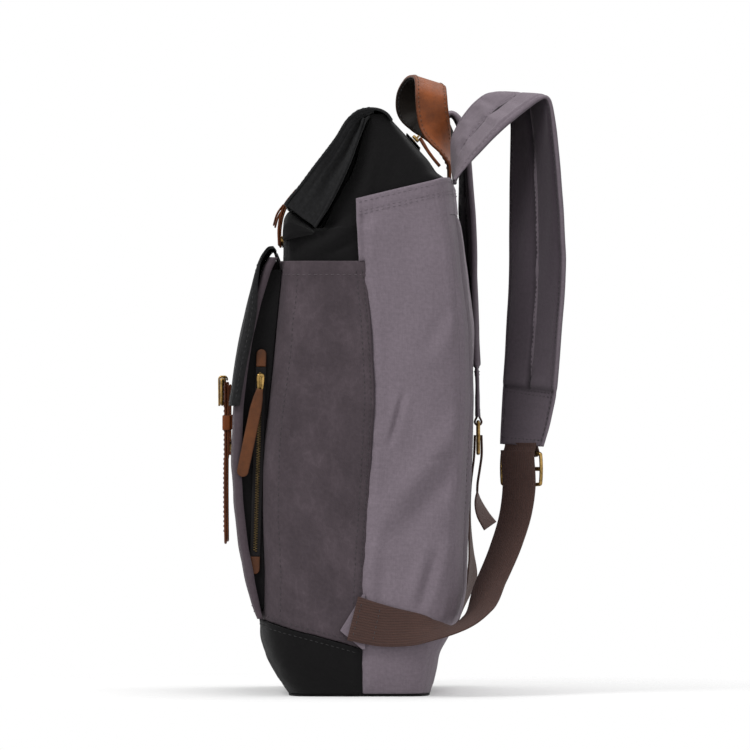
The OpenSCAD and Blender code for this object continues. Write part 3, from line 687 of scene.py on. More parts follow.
under = -2.6 / (1 + np.exp((left - greySide["lap"] + 0.8) * 2.5)) * (p[..., 2] < bag["waxedTop"] + 1)
h = seamDip(np.abs(left - greySide["lap"]), low, 11) + seamDip(right, low, 12, 0.8)
h += hem(top, greySide["hem"]) + sideFolds(p, greySide["folds"])
h += crumple(p[..., 1], p[..., 2], (1.3, 55.0, 70.0, 13), (0.5, 21.0, 27.0, 14))
h *= ramp(low / 6.0) * ramp(0.25 + top / 20.0) * ramp(right / 9.0)
p = swell(p, np.clip(h, -4.0, 4.6) + under)
bothPanels("rear_side_", "side_panel_rear_", p, greyCanvas)
hemRows = [(distance, 0.01, 0.99) for distance in (-3.5, -11.0, -13.4)]
sew(greySeam, p, rows=hemRows, hands=bothHands)

waxedSide = {"rows": 190, "cols": 90, "hem": 12.0,
    "folds": [((-50, 300), (-62, 180), 6.0, 2.0), ((-30, 250), (-18, 150), 9.0, -2.0),
    ((-60, 160), (-40, 96), 6.0, -1.7), ((-24, 136), (-4, 80), 5.0, 1.9),
    ((-36, 340), (-52, 306), 5.0, -1.4), ((-8, 300), (2, 240), 5.0, 1.4), ((-44, 128), (-18, 74), 5.0, 1.7),
    ((-66, 118), (-52, 78), 4.0, 1.3)]}
p = loft(bodyPoint, slant(bag["bootTop"] + 0.6, bag["bootSide"] + 0.6), slant(bag["waxedTop"]),
         frontAngle, midAngle, waxedSide["rows"], waxedSide["cols"], nearEnd)
left, right, low, top = margins(p)
h = seamDip(right, low, 21, 1.0) + seamDip(low, left, 22, 0.7) + hem(top, waxedSide["hem"])
h += crumple(p[..., 1], p[..., 2], (1.0, 40.0, 52.0, 23), (0.55, 15.0, 20.0, 24))
h += sideFolds(p, waxedSide["folds"])
h *= ramp(left / 14.0) * ramp(0.25 + top / 20.0)
p = swell(p, np.clip(h, -3.0, 3.0))
bothPanels("front_side_", "side_panel_front_", p, waxedCanvas)
sew(hemSeam, p, rows=[(-11.0, 0.05, 0.985)], hands=bothHands)
sew(darkSeam, p, [(-3.0, 0.02, 0.98), (-8.0, 0.02, 0.98), (20.0, 0.02, 0.97)], [(4.0, 0.02, 0.98)],
    bothHands)

p = loft(bodyPoint, slant(bag["bootTop"] + 0.3), slant(bag["waxedTop"]),
         lambda z: -np.pi - frontAngle(z), frontAngle, 120, 120, bothEnds)
left, right, low, top = margins(p)
h = hem(top, 12.0) - 0.6 + crumple(p[..., 0], p[..., 2], (0.5, 40.0, 40.0, 31))
clothPanel("front_wall", swell(p, h * ramp(left / 8) * ramp(right / 8)), waxedCanvas, ["front_panel"])

backWall = {"rows": 200, "cols": 170, "frameIn": 30.0, "crown": 2.4, "full": 2.4, "fullFrom": 240.0}
p = loft(bodyPoint, floorEdge, slant(bag["backTop"]), rearAngle, lambda z: np.pi - rearAngle(z),
         backWall["rows"], backWall["cols"], bothEnds)
left, right, low, top = margins(p)
rim = np.minimum(np.minimum(left, right), np.minimum(low * 0.5, top)) - backWall["frameIn"]
x, z = p[..., 0], p[..., 2]
h = backWall["crown"] * (1 - np.exp(-np.clip(rim, 0, None) / 9.0)) * (0.35 + 0.65 * ramp(np.abs(x) / 26.0))
h += -1.0 * bell(rim, 1.6) - 0.9 * bell(x, 2.0) * (rim > 0)
h += hem(top, 13.0) + seamDip(np.minimum(left, right), low, 41, 0.8)
h += crumple(x, z, (0.8, 45.0, 60.0, 42), (0.3, 16.0, 20.0, 43))
h += backWall["full"] * ramp((z - backWall["fullFrom"]) / 60.0) * ramp(top / 8.0) * ramp(0.5 - x / 40.0)
p = swell(p, h * ramp(low / 6.0) * ramp(np.minimum(left, right) / 9.0))
clothPanel("back_wall", p, greyCanvas, ["back_panel"])
sew(greySeam, p, rows=hemRows)
sew(darkSeam, p, [(backWall["frameIn"], 0.16, 0.92), (-backWall["frameIn"], 0.16, 0.92)],
    [(-backWall["frameIn"], 0.07, 0.93)])

boot = {"rows": 60, "cols": 260, "corner": 0.173}
edgeTop = along([[0, bag["bootSide"]], [boot["corner"], bag["bootTop"]],
                 [1 - boot["corner"], bag["bootTop"]], [1, bag["bootSide"]]])
p = loft(bodyPoint, floorEdge, edgeTop, lambda z: -np.pi - midAngle(z), midAngle, boot["rows"], boot["cols"])
left, right, low, top = margins(p)
h = seamDip(np.minimum(left, right), low, 51, 0.9) + 0.5 * bell(top, 5.0)
h += crumple(left, low, (0.7, 24.0, 18.0, 52), (0.35, 9.0, 9.0, 53))
p = swell(p, h * ramp(low / 8.0))
clothPanel("boot", p, blackCanvas, ["base_boot"])
sew(blackSeam, p, rows=[(-4.0, 0.01, 0.99)])

base = {"height": 2.0, "inset": 0.5, "bow": 1.1, "lowest": 0.02}
a = np.linspace(0, 2 * np.pi, 145)[None]
r = np.linspace(0.004, 1.0, 40)[:, None]
half, depth = (size(base["height"]) - base["inset"] for size in (bodyHalf, bodyDepth))
x, y = section(half, depth, a, bag["power"])
rise = 0.05 + base["bow"] * (1 - r ** 2) + crumple(x * r, y * r, (0.25, 30.0, 30.0, 55)) * (1 - r ** 6)
p = np.stack([x * r, bodyMid(base["height"]) + y * r, np.maximum(rise, base["lowest"])], -1)
clothPanel("base_cloth", p[:, ::-1], blackCanvas, ["bottom_panel"], thick=-1.8)
print("body sewn")


# collar of the roll-top and its folded flap

collarFront = along([[338, -62], [350, -62.2], [364, -62], [371, -61], [373.5, -56], [374.3, -46],
    [374.6, -36], [376, -33.5], [388, -26.6], [420, -10.7], [446, -0.8], [463, 5.2], [467, 6.8]], 0.8)
collarBack = along([[338, 80], [366, 76], [416, 69], [420, 62], [430, 55.5], [453, 34.5], [463, 25],
    [467, 21]], 1.5)
collarRise = along([[338, 0], [416, 0], [463, 2]])


def collarHalf(z):
    return bodyHalf(np.minimum(z, bag["backTop"])) - bag["cloth"] - 1.6 + collarRise(z)


def collarDepth(z):
    return (collarBack(z) - collarFront(z)) / 2


def collarCorner(z):
    return np.arctan2(collarDepth(z) * bag["cornerFront"], collarHalf(z))


def collarPoint(z, ang, inset=0.0):
    x, y = section(collarHalf(z) - inset, collarDepth(z) - inset, ang, bag["power"])
    return np.stack([x, (collarFront(z) + collarBack(z)) / 2 + y, z], -1)


collar = {"low": 338.0, "high": 466.5, "rows": 190,
    "folds": [((-44, 352), (4, 384), 5.0, 2.2), ((-30, 350), (-2, 366), 3.0, -1.6),
    ((-40, 366), (-4, 392), 4.0, -2.0), ((8, 452), (-16, 384), 6.0, -2.4), ((14, 446), (2, 388), 5.0, 2.0),
    ((30, 436), (20, 400), 5.0, -1.0)]}


def collarLoft(left, right, cols, *ease):
    low, high = slant(collar["low"]), slant(collar["high"])
    return loft(collarPoint, low, high, left, right, collar["rows"], cols, *ease)


p = collarLoft(lambda z: -collarCorner(z), collarCorner, 90)
left, right, low, top = margins(p)
h = seamDip(np.minimum(left, right), low, 61, 0.6) + crumple(p[..., 1], p[..., 2], (0.8, 26.0, 30.0, 62))
h += sideFolds(p, collar["folds"])
h *= ramp((p[..., 2] - collar["low"] - 10) / 12.0) * np.clip((collar["high"] - p[..., 2]) / 14.0, 0.1, 1)
bothPanels("collar_side_", "collar_gusset_", swell(p, np.clip(h, -3.0, 2.4)), blackCanvas, thick=1.8)

p = collarLoft(lambda z: -np.pi + collarCorner(z), lambda z: -collarCorner(z), 130, bothEnds)
h = crumple(p[..., 0], p[..., 2], (0.8, 40.0, 22.0, 63), (0.4, 14.0, 12.0, 64))
p = swell(p, h * ramp((p[..., 2] - collar["low"] - 14) / 12.0))
clothPanel("collar_fore", p, blackCanvas, ["collar_front"], thick=1.8)
p = collarLoft(collarCorner, lambda z: np.pi - collarCorner(z), 130, bothEnds)
clothPanel("collar_rear", p, blackCanvas, ["collar_back"], thick=1.8)
sew(blackSeam, p, rows=[(-35.0, 0.1, 0.9), (-9.0, 0.1, 0.9)])

roll = {"half": 150.0,
    "outer": [[26.2, 462.4], [22.8, 467.0], [17.8, 470.2], [12, 471.7], [6, 471.7], [-2, 469.5], [-9, 464],
    [-20, 447.6], [-34, 429.6], [-48, 409.6], [-60, 393.6]],
    "inner": [[4, 463], [-1.5, 446], [-11.5, 420], [-27.5, 388], [-35.5, 375.5]], "hem": 15.0, "dish": 7.0}


def acrossSheet(path, half, rows, cols, forward=True):
    # sheet across the bag over a side path of depth and height, which its rows follow
    q = smoothPath(path, rows)
    x = np.linspace(-half, half, cols) * (1 if forward else -1)
    p = np.zeros((rows, cols, 3))
    p[..., 0], p[..., 1], p[..., 2] = x[None], q[:, :1], q[:, 1:]
    return p


p = acrossSheet(roll["outer"][::-1], roll["half"], 120, 150)
left, right, low, top = margins(p)
free = ramp((top - 18.0) / 30.0)
h = hem(low, roll["hem"]) + free * crumple(p[..., 0], low, (0.7, 50.0, 40.0, 71), (0.5, 18.0, 26.0, 72))
h += -1.6 * free * bell(roll["half"] - np.abs(p[..., 0]) - 9.0, 4.0)
p = swell(p, h)
cloth = clothPanel("roll_face", p, sheenBlack, ["roll_outer"], body=None)
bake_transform(cloth)
declareSheet(cloth, p)
sew(rollSeam, p, [(3.5, 0.02, 0.84), (-3.5, 0.02, 0.84)],
    [(3.0, 0.01, 0.99), (roll["hem"] - 2.0, 0.01, 0.99)])

p = acrossSheet(roll["inner"][::-1], roll["half"], 90, 130, False)
left, right, low, top = margins(p)
h = np.clip(top, 0, 20) / 20.0 * (crumple(p[..., 0], low, (0.6, 46.0, 34.0, 73)) - 0.3)
h += hem(low, roll["hem"]) * 0.6
cloth = clothPanel("roll_rear", swell(p, h), sheenBlack, ["roll_inner"], body="roll")
declareSheet(cloth, p)

a, b = smoothPath(roll["outer"][3:][::-1], 90), smoothPath(roll["inner"][::-1], 90)
k = np.linspace(0, 1, 40)[None]
v = np.linspace(0, 1, 90)[:, None]
y = (a[:, :1] + 1.4) * (1 - k) + (b[:, :1] + 0.2) * k
z = (a[:, 1:] - 0.8) * (1 - k) + b[:, 1:] * k
crease = bell(k - 0.62, 0.2) * 1.1 + 0.35 * np.sin(np.pi * k) + 0.3 * bell(k - 0.27, 0.06)
deep = crease * ramp(v * 1.2 + 0.12) * (0.55 + 0.45 * np.sin(np.pi * ramp(v * 1.1)))
x = roll["half"] - 0.6 - roll["dish"] * deep + crumple(y, z, (1.5, 12.0, 26.0, 74)) * np.sin(np.pi * k)
bothPanels("roll_end_", "roll_gusset_", np.stack([x, y, z], -1), sheenBlack, body="roll", thick=1.6)

tuck = {"half": 146.5, "base": 366.0,
    "path": [[-62, 366], [-61.8, 376], [-60.3, 384.3], [-57, 388.2], [-52.5, 386.4], [-47, 382.8],
    [-41.5, 379], [-36.5, 375]]}
q = smoothPath(tuck["path"], 44)
q = np.vstack([q, np.linspace(q[-1], q[0], 16)[1:-1] - np.array([0.0, 1.5])])
k = np.sin(np.linspace(-np.pi / 2, np.pi / 2, 120))[:, None]
full = (1 - np.abs(k) ** 16 * 0.4) * (1 + crumple(k, 0 * k, (0.06, 0.25, 1.0, 77)))
y, z = q[None, :, 0] + 0 * k, tuck["base"] + (q[None, :, 1] - tuck["base"]) * full
piece = tubePiece("collar_tuck", np.stack([k * tuck["half"] + 0 * y, y, z], -1))
joinDoubles(piece)
finishPiece(piece, blackCanvas, "bag")
print("roll-top folded")


# pocket on the front and the flap over it

pocket = {"low": 62.0, "high": 352.0, "half": 136.0, "crown": 9.0, "power": 8.0, "gusset": 130.0,
    "gussetLow": 70.0, "gussetHigh": 342.0, "inner": 134.0, "gussetRear": 128.0}
pocketLine = along([[62, -83], [70, -86.5], [91, -92.5], [120, -98.6], [155, -102.6], [182, -104],
    [206, -103.4], [233, -102.4], [262, -98.9], [286, -95.2], [316, -87.8], [342, -79.3], [352, -74]], 3.0)
pocketRound = along([[62, 0.6], [75, 0.8], [100, 1], [300, 1], [352, 0.9]])


def crown(k):
    # how far the pocket's face falls back towards its upright edges
    power = pocket["power"]
    return pocket["crown"] * (1 - np.clip(1 - np.abs(k) ** power, 0, None) ** (1 / power))


k = np.sin(np.linspace(-np.pi / 2, np.pi / 2, 170))[None]
z = np.linspace(pocket["low"], pocket["high"], 180)[:, None]
p = np.stack([k * pocket["half"] + 0 * z, pocketLine(z) + crown(k) * pocketRound(z), z + 0 * k], -1)
left, right, low, top = margins(p)
h = crumple(p[..., 0], z, (0.55, 48.0, 40.0, 81), (0.35, 17.0, 19.0, 82))
h += hem(top, 12.0) * 0.6 - 0.25 - 0.5 * bell(np.minimum(left, right) - 14.0, 1.4)
p = swell(p, np.minimum(h, 0.6) * ramp(low / 8))
clothPanel("pocket_face", p, pocketCanvasAndShade, ["pocket_front"])
sew(greySeam, p, [(13.0, 0.03, 0.97), (-13.0, 0.03, 0.97)], [(6.0, 0.05, 0.95), (11.0, 0.05, 0.95)])


def bodyFront(z, x):
    k = np.abs(x) / bodyHalf(z)
    return bodyMid(z) - bodyDepth(z) * (1 - k ** bag["power"]) ** (1 / bag["power"])


z = np.linspace(pocket["gussetLow"], pocket["gussetHigh"], 120)[:, None]
k = np.linspace(0, 1, 24)[None]
fore = pocketLine(z) + 2.6 + crown(pocket["gusset"] / pocket["inner"])
y = fore * (1 - k) + (bodyFront(z, pocket["gussetRear"]) - 0.3) * k
x = pocket["gusset"] - 0.5 * np.sin(np.pi * k) + crumple(y, z, (0.3, 8.0, 16.0, 83)) + 0 * z
bothPanels("pocket_side_", "pocket_gusset_", np.stack([x, y, z + 0 * k], -1), blackCanvas)

flap = {"path": [[-69.5, 361], [-73, 360.5], [-77.8, 355], [-82.8, 343], [-90.8, 316], [-98, 286],
    [-101.9, 262], [-105.4, 233]],
    "round": [0, 0.1, 0.4, 0.8, 1, 1, 1, 1], "half": 139.0, "hem": 12.0}
q = smoothPath(flap["path"][::-1], 110)
ease = np.interp(np.linspace(0, 1, 110), np.linspace(0, 1, 8), flap["round"][::-1])[:, None]
k = np.sin(np.linspace(-np.pi / 2, np.pi / 2, 170))[None]
wrap = np.linspace(1.0, 1.7, 110)[:, None]
p = np.stack([k * flap["half"] + 0 * ease, q[:, :1] + crown(k) * ease * wrap, q[:, 1:] + 0 * k], -1)
left, right, low, top = margins(p)
h = 0.5 * np.clip(crumple(p[..., 0], low, (1.0, 44.0, 30.0, 91)), -0.3, 1)
h += hem(np.minimum(left, right), 10.0)
p = swell(p, hem(low, flap["hem"]) + h * ramp(top / 20))
cloth = clothPanel("flap_cloth", p, sheenBlack, ["front_flap"], body="flap")
declareSheet(cloth, p)
sew(flapSeam, p, [(4.0, 0.04, 0.86), (-4.0, 0.04, 0.86)],
    [(3.0, 0.02, 0.98), (flap["hem"] - 2.0, 0.02, 0.98)])

joint = [[frontLine(z) - 0.4, z] for z in (collar["low"], bag["waxedTop"])] + [[-66.4, 352], [-68.6, 357.5]]
p = acrossSheet(joint, 120.0, 30, 110)
p = swell(p, 1.4 + crumple(p[..., 0], p[..., 2], (0.3, 20.0, 9.0, 95)))
clothPanel("flap_joint", p, blackCanvas, ["flap_seam"], thick=1.6)
sew(blackSeam, p, rows=[(5.0, 0.02, 0.98)])
print("pocket and flap sewn")


# inner layers of the back

inner = {"low": 92.0, "foamHigh": 334.0, "foamIn": 3.6, "sleeveHigh": 290.0, "sleeveIn": 12.4}


def innerLayer(high, turn, count, inset):
    # layer behind the back panel, its sides turned in by an angle
    return loft(bodyPoint, slant(inner["low"]), slant(high), lambda z: rearAngle(z) + turn,
                lambda z: np.pi - rearAngle(z) - turn, count, count, inset=inset)


p = innerLayer(inner["foamHigh"], 0.14, 90, inner["foamIn"])
p = swell(p, -3.2 * np.exp(-np.minimum.reduce(margins(p)) / 4.0))
foam = clothPanel("back_padding", p, blackCanvas, ["back_foam"], thick=6.8, slot="foam")
p = innerLayer(inner["sleeveHigh"], 0.21, 80, inner["sleeveIn"])
left, right, low, top = margins(p)
h = crumple(left, low, (0.3, 30.0, 30.0, 97)) - 0.2 + 0.6 * hem(top, 12.0)
cloth = clothPanel("inside_sleeve", swell(p, h), greyCanvas, ["inner_sleeve"], thick=1.6)
declareSheet(cloth, p)


# leather straps, tabs and keepers of the flap

lace = {"x": 60.0, "half": 9.0, "thick": 2.2, "tabThick": 1.8, "tabTop": 250.0, "tabLow": 192.0,
    "tabY": -106.6, "tailTop": 252.0, "tailLow": 121.0, "tailY": -108.8, "waveTop": 190.0,
    "keeperY": -107.8, "keeperZ": 219.0, "keeperHalf": 6.0, "keeperWide": 10.3, "keeperDeep": 3.0,
    "keeperThick": 1.2}
across, upward = np.array([1.0, 0.0, 0.0]), np.array([0.0, 0.0, 1.0])


def roundEnd(d, half):
    # half width near a rounded tip, d being the distance from its end
    return half * np.sqrt(ramp(1 - ramp(1 - d / half) ** 2))


def lacePiece(name, path, half, thick, wide=across, tipStart=False, tipEnd=True, body="flap", nodes=(),
              material=tanLeather):
    # leather strip along a path, rounded at its tips and thinned at its ends
    d = lengths(path)
    w = np.full(len(d), float(half))
    w = np.minimum(w, roundEnd(d + 0.05, half)) if tipStart else w
    w = np.minimum(w, roundEnd(d[-1] - d + 0.05, half)) if tipEnd else w
    th = thick * ramp(0.55 + np.minimum(d, d[-1] - d))
    rings, edge, side, normal = strapRings(path, wide, w, th)
    finishPiece(tubePiece(name, rings, edge), material, body, nodes)
    return d, w, side, normal


def edgeStitch(key, path, d, w, side, normal, thick, inset, low, high):
    # a row of stitches along each edge of a strip, on the face that the normal points out of
    keep = (d > low) & (d < d[-1] - high)
    for sign in (-1.0, 1.0):
        line = path + side * (sign * (w - inset))[:, None] + normal * (thick / 2)
        stitch(key, line[keep], normal[keep], 2.6, 1.2, 0.36)


def upright(x, y, top, low, count):
    return np.stack([np.full(count, x), np.full(count, y), np.linspace(top, low, count)], -1)


# roll-top strap and its turned tip, as paths of depth and height
rollLace = smoothPath([[-50.3, 407], [-60.6, 393.4], [-64.6, 377], [-64.4, 362]], 60)
rollTip = smoothPath([[-61.2, 395], [-66.2, 388], [-69.4, 378]], 30)
for sign, word in sides:
    x = sign * lace["x"]
    path = upright(x, lace["tabY"], lace["tabTop"], lace["tabLow"], 60)
    lacePiece("lace_tab_" + word, path, lace["half"], lace["tabThick"], tipEnd=False,
              nodes=["flap_tab_" + word])
    path = upright(x, lace["tailY"], lace["tailTop"], lace["tailLow"], 120)
    wave = ramp(np.sin((path[:, 2] - lace["tailLow"]) / 30.0)) * (path[:, 2] < lace["waveTop"])
    path[:, 1] -= 0.35 * wave
    d, w, side, normal = lacePiece("lace_tail_" + word, path, lace["half"], lace["thick"],
                                   nodes=["flap_strap_" + word])
    edgeStitch(laceSeam, path, d, w, side, -np.sign(normal[60, 1]) * normal, lace["thick"], 2.0, 2.0, 8.0)
    c, q = section(1.0, 1.0, circle(80), 8)
    loop = np.stack([x + lace["keeperWide"] * c, lace["keeperY"] + lace["keeperDeep"] * q,
                     np.full(80, lace["keeperZ"])], -1)
    rings, edge, side, normal = strapRings(np.vstack([loop, loop[:1]]), upward, lace["keeperHalf"],
                                           lace["keeperThick"])
    rings[-1] = rings[0]
    piece = loopPiece("lace_keeper_" + word, rings, edge)
    finishPiece(piece, tanLeather, "keeper_" + word, ["flap_keeper_" + word])
    for path, thick, name, nodes in ((rollLace, 2.2, "roll_lace_", ["roll_strap_" + word]),
                                     (rollTip, 1.5, "roll_lace_tip_", [])):
        way = unit(np.gradient(path, axis=0))
        middle = path + np.stack([way[:, 1], -way[:, 0]], -1) * thick / 2
        lacePiece(name + word, np.column_stack([np.full(len(path), x), middle]), lace["half"], thick,
                  tipEnd=path is rollTip, body="roll", nodes=nodes)


# brass fittings

brass = {"wire": 1.5, "y": -111.7, "z": 244.0, "half": 13.0, "tall": 10.0, "corner": 3.0, "hook": 2.5,
    "tongue": 0.75}


def roundFrame(centre, ex, ez, half, tall, corner, count=120):
    # closed path of a rectangle with rounded corners, in the plane of ex and ez
    c, q = np.cos(circle(count)), np.sin(circle(count))
    x = (half - corner) * np.clip(c * 1.6, -1, 1) + corner * c
    z = (tall - corner) * np.clip(q * 1.6, -1, 1) + corner * q
    return np.array(centre)[None] + np.outer(x, ex) + np.outer(z, ez)


def brassPiece(piece, body, nodes=(), material=agedBrass):
    return finishPiece(piece, material, body, nodes)


def arc(start, end, radius, count):
    a = np.radians(np.linspace(start, end, count))
    return np.stack([radius * np.cos(a), radius * np.sin(a)], -1)


for sign, word in sides:
    x = sign * lace["x"]
    centre = [x, brass["y"], brass["z"]]
    path = roundFrame(centre, across, upward, brass["half"], brass["tall"], brass["corner"])
    brassPiece(wirePiece("buckle_frame_" + word, path, brass["wire"]), "flap", ["flap_buckle_" + word])
    tongue = np.vstack([arc(-20, 185, brass["hook"], 24), np.linspace((-2.5, -1.0), (-2.3, -21.5), 20)])
    path = np.column_stack([np.full(len(tongue), x), tongue + (brass["y"], brass["z"] + brass["tall"])])
    brassPiece(wirePiece("buckle_tongue_" + word, path, brass["tongue"], False), "prong_" + word,
               ["flap_prong_" + word])

for node, finish in (("roll_studs", agedBrass), ("flap_studs", agedBrass), ("base_board", fibreBoard)):
    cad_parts[node].data.materials.clear()
    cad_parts[node].data.materials.append(finish)


# zippers: tape, two rows of teeth, slider and leather pull

def frameAt(origin, ex, ey):
    ex, ey = unit(np.array(ex, float)), unit(np.array(ey, float))
    return np.array(origin, float), np.stack([ex, ey, np.cross(ex, ey)])


def placed(at, local):
    return at[0] + np.asarray(local) @ at[1]


def toothRows(name, at, low, high, lift, pitch=2.0):
    # two rows of small tapered blocks, set half a pitch apart, that meet along the middle
    n = int((high - low) / pitch)
    one = np.array([[-0.5, -0.9, 0], [0.5, -0.9, 0], [0.5, 1.1, 0], [-0.5, 1.1, 0],
                    [-0.34, -0.7, 1.15], [0.34, -0.7, 1.15], [0.34, 0.9, 1.0], [-0.34, 0.9, 1.0]])
    f = np.array([[0, 3, 2, 1], [4, 5, 6, 7], [0, 1, 5, 4], [1, 2, 6, 5], [2, 3, 7, 6], [3, 0, 4, 7]])
    verts = []
    for side, shift in ((1.0, 0.0), (-1.0, 0.5)):
        block = one * np.array([side, side, 1.0]) + np.array([0, -0.75 * side, lift])
        place = low + (np.arange(n) + 0.25 + shift) * pitch
        verts.append((block[None] + np.outer(place, across)[:, None]).reshape(-1, 3))
    faces = (f[None] + (np.arange(2 * n) * len(one))[:, None, None]).reshape(-1, 4)
    piece = putMesh(name, placed(at, np.vstack(verts)), faces.tolist())
    piece.data.polygons.foreach_set("use_smooth", np.zeros(len(piece.data.polygons), bool))
    return piece


def sliderPiece(name, at, x, body, node):
    # slider: a waisted footprint lofted upwards with rounded rims, and the bridge that holds the pull
    a = circle(48)
    c, q = section(1.0, 1.0, a, 4)
    fx, fy = 6.9 * c, (3.1 + 0.5 * np.cos(a)) * q
    levels = [[2.7, 0.96], [2.9, 1.0], [4.6, 1.0], [5.1, 0.93], [5.3, 0.8]]
    rings = np.stack([np.stack([x + fx * k, fy * k, np.full(48, z)], -1) for z, k in levels])
    bridge = [[-5.0, 0, 4.9], [-4.6, 0, 6.3], [-2.6, 0, 6.9], [1.8, 0, 6.9], [3.6, 0, 6.3], [3.9, 0, 4.9]]
    bridge = smoothPath(np.array(bridge) + x * across, 40)
    brassPiece(tubePiece(name, placed(at, rings)), body, [node])
    brassPiece(wirePiece(name + "_bridge", placed(at, bridge), 0.75, False), body)


def pullPiece(name, at, x, lift, toward, long, body, node, bend, thick=2.1, droop=0.0, leather=tanLeather):
    # leather pull: a strip tied through the slider, narrow at its fold and rounded at its tip
    toward = np.array(toward, float) / np.hypot(*toward)
    q = np.linspace(1.6, long + 1.4, 90)
    k = (q - 1.6) / long
    rise = lift + 1.1 + bend * np.sin(k * np.pi) - droop * k ** 1.2
    path = placed(at, np.stack([x + toward[0] * q, toward[1] * q, rise], -1))
    w = 5.0 * np.interp(q, [0, 3, 9, 20, long], [0.5, 0.55, 0.8, 1.0, 0.94])
    w = np.minimum(w, roundEnd(q[-1] - q + 0.05, 4.8))
    th = thick * np.interp(q, [0, 3, 8, 12, long], [0.8, 1.0, 1.0, 0.9, 0.85])
    rings, edge = strapRings(path, np.array([-toward[1], toward[0], 0.0]) @ at[1], w, th, 5.0)[:2]
    finishPiece(tubePiece(name, rings, edge), leather, body, [node])


slope = {"mid": (0.0, 41.85, 444.95), "tilt": -math.atan2(23.0, 21.0), "half": 118.0, "slider": 104.0,
    "teeth": 114, "pull": 28.0}
rearAt = frameAt(slope["mid"], (1, 0, 0), (0, math.cos(slope["tilt"]), math.sin(slope["tilt"])))
u, v = np.meshgrid(np.linspace(-slope["half"], slope["half"], 120), np.linspace(8, -8, 24))
rise = 1.0 + 0.25 * bell(np.abs(v) - 2.6, 0.8) - 0.1 * (np.abs(v) / 8) ** 4
p = placed(rearAt, np.stack([u, v, rise], -1))
clothPanel("rear_zip_band", p, tapeCloth, ["rear_zip_tape"], thick=0.7)
for side in (-6.3, 6.3):
    row = placed(rearAt, np.linspace((-116, side, 1.0), (116, side, 1.0), 200))
    stitch(blackSeam, row, np.broadcast_to(rearAt[1][2], row.shape), 2.6, 1.2, 0.34)
teeth = toothRows("rear_zip_rows", rearAt, -slope["teeth"], slope["teeth"], 1.1)
brassPiece(teeth, "bag", ["rear_zip_teeth"])
sliderPiece("rear_zip_runner", rearAt, slope["slider"], "rear_slider", "rear_zip_slider")
pullPiece("rear_zip_tongue", rearAt, slope["slider"], 5.8, (0, 1), slope["pull"], "rear_pull",
          "rear_zip_pull", -1.0, 3.0, 3.6)

sideZip = {"low": (130.0, -84.2, 112.0), "high": (130.0, -79.4, 264.0), "slider": 140.0, "pull": 72.0,
    "lean": math.radians(10.0), "stop": 14.0}
up = np.array(sideZip["high"]) - np.array(sideZip["low"])
zipLong = np.linalg.norm(up)
sideAt = frameAt(sideZip["low"], up, np.cross(across, unit(up)))
u, v = np.meshgrid(np.linspace(0, zipLong, 100), np.linspace(4, -4, 16))
p = placed(sideAt, np.stack([u, v, 0.9 + 0.2 * bell(np.abs(v) - 2.4, 0.6)], -1))
clothPanel("pocket_zip_band", p, tapeCloth, ["pocket_zip_tape"], thick=0.6)
teeth = toothRows("pocket_zip_rows", sideAt, 4, zipLong - 4, 1.0)
brassPiece(teeth, "bag", ["pocket_zip_teeth"], dullBrass)
sliderPiece("pocket_zip_runner", sideAt, sideZip["slider"], "pocket_slider", "pocket_zip_slider")
toward = (-math.cos(sideZip["lean"]), math.sin(sideZip["lean"]))
pullPiece("pocket_zip_tongue", sideAt, sideZip["slider"] - 4, 6.4, toward, sideZip["pull"], "pocket_pull",
          "pocket_zip_pull", 0.5, leather=darkLeather)
stops = (("zip_stop_low", -sideZip["stop"], ["pocket_zip_tabs"]), ("zip_stop_high", zipLong + 0.3, []))
for name, low, nodes in stops:
    path = placed(sideAt, np.linspace((low, 0, 1.3), (low + sideZip["stop"], 0, 1.3), 40))
    lacePiece(name, path, 4.0, 2.2, sideAt[1][1], low < 0, low > 0, "bag", nodes, darkLeather)
print("leather, brass and zippers made")


# carry handle, shoulder straps and webbing

handle = {"half": 28.0, "width": 13.0, "thick": 3.0,
    "path": [[1, 72.5, 416.4], [1, 72.2, 428], [1, 69, 440], [1, 64, 451], [1, 60.3, 462], [1, 58.4, 474],
    [0.9, 57.6, 485], [0.6, 57, 493.5], [0, 53.5, 497], [-0.6, 47, 493], [-0.9, 42, 483], [-1, 42.5, 474.5],
    [-1, 49.5, 467.5], [-1, 60, 460], [-1, 67.5, 450], [-1, 71, 439], [-1, 72.2, 428], [-1, 72.5, 416.4]],
    "wide": [[1, 0, 0], [1, 0, 0], [0.92, -0.4, 0], [0.65, -0.75, -0.1], [0.2, -0.95, -0.2],
    [0, -0.98, 0.1], [0, -0.96, 0.28], [0, -0.95, 0.3], [0, -0.95, 0.3], [0, -0.97, 0.25], [0, -0.99, 0.1],
    [0, -0.99, -0.05], [0.05, -0.97, -0.2], [0.2, -0.92, -0.3], [0.65, -0.7, -0.25], [0.92, -0.38, -0.1],
    [1, 0, 0], [1, 0, 0]]}
points = np.array(handle["path"], float) * np.array([handle["half"], 1, 1])
reach = lengths(points)
path = smoothPath(points, 220)
d = np.linspace(0, reach[-1], 220)
wide = unit(carried(d, reach, handle["wide"]))
rings, edge, side, normal = strapRings(path, wide, handle["width"], handle["thick"])
inward = -np.sign(normal[110, 2])
depth = np.einsum("ijk,ik->ij", rings - path[:, None], normal) * inward
# near-black on the face inside the loop
insideFace = ramp(depth / (0.3 * handle["thick"]) - 0.2)
finishPiece(tubePiece("carry_grip", rings, edge, insideFace), tanLeather, "handle", ["carry_handle"])
for sign in (-1.0, 1.0):
    thread = blackThread if sign == inward else leatherThread
    edgeStitch(("handle", thread.name, "handle_stitches"), path, d, np.full(220, handle["width"]), side,
               normal * sign, handle["thick"], 2.4, 8.0, 8.0)

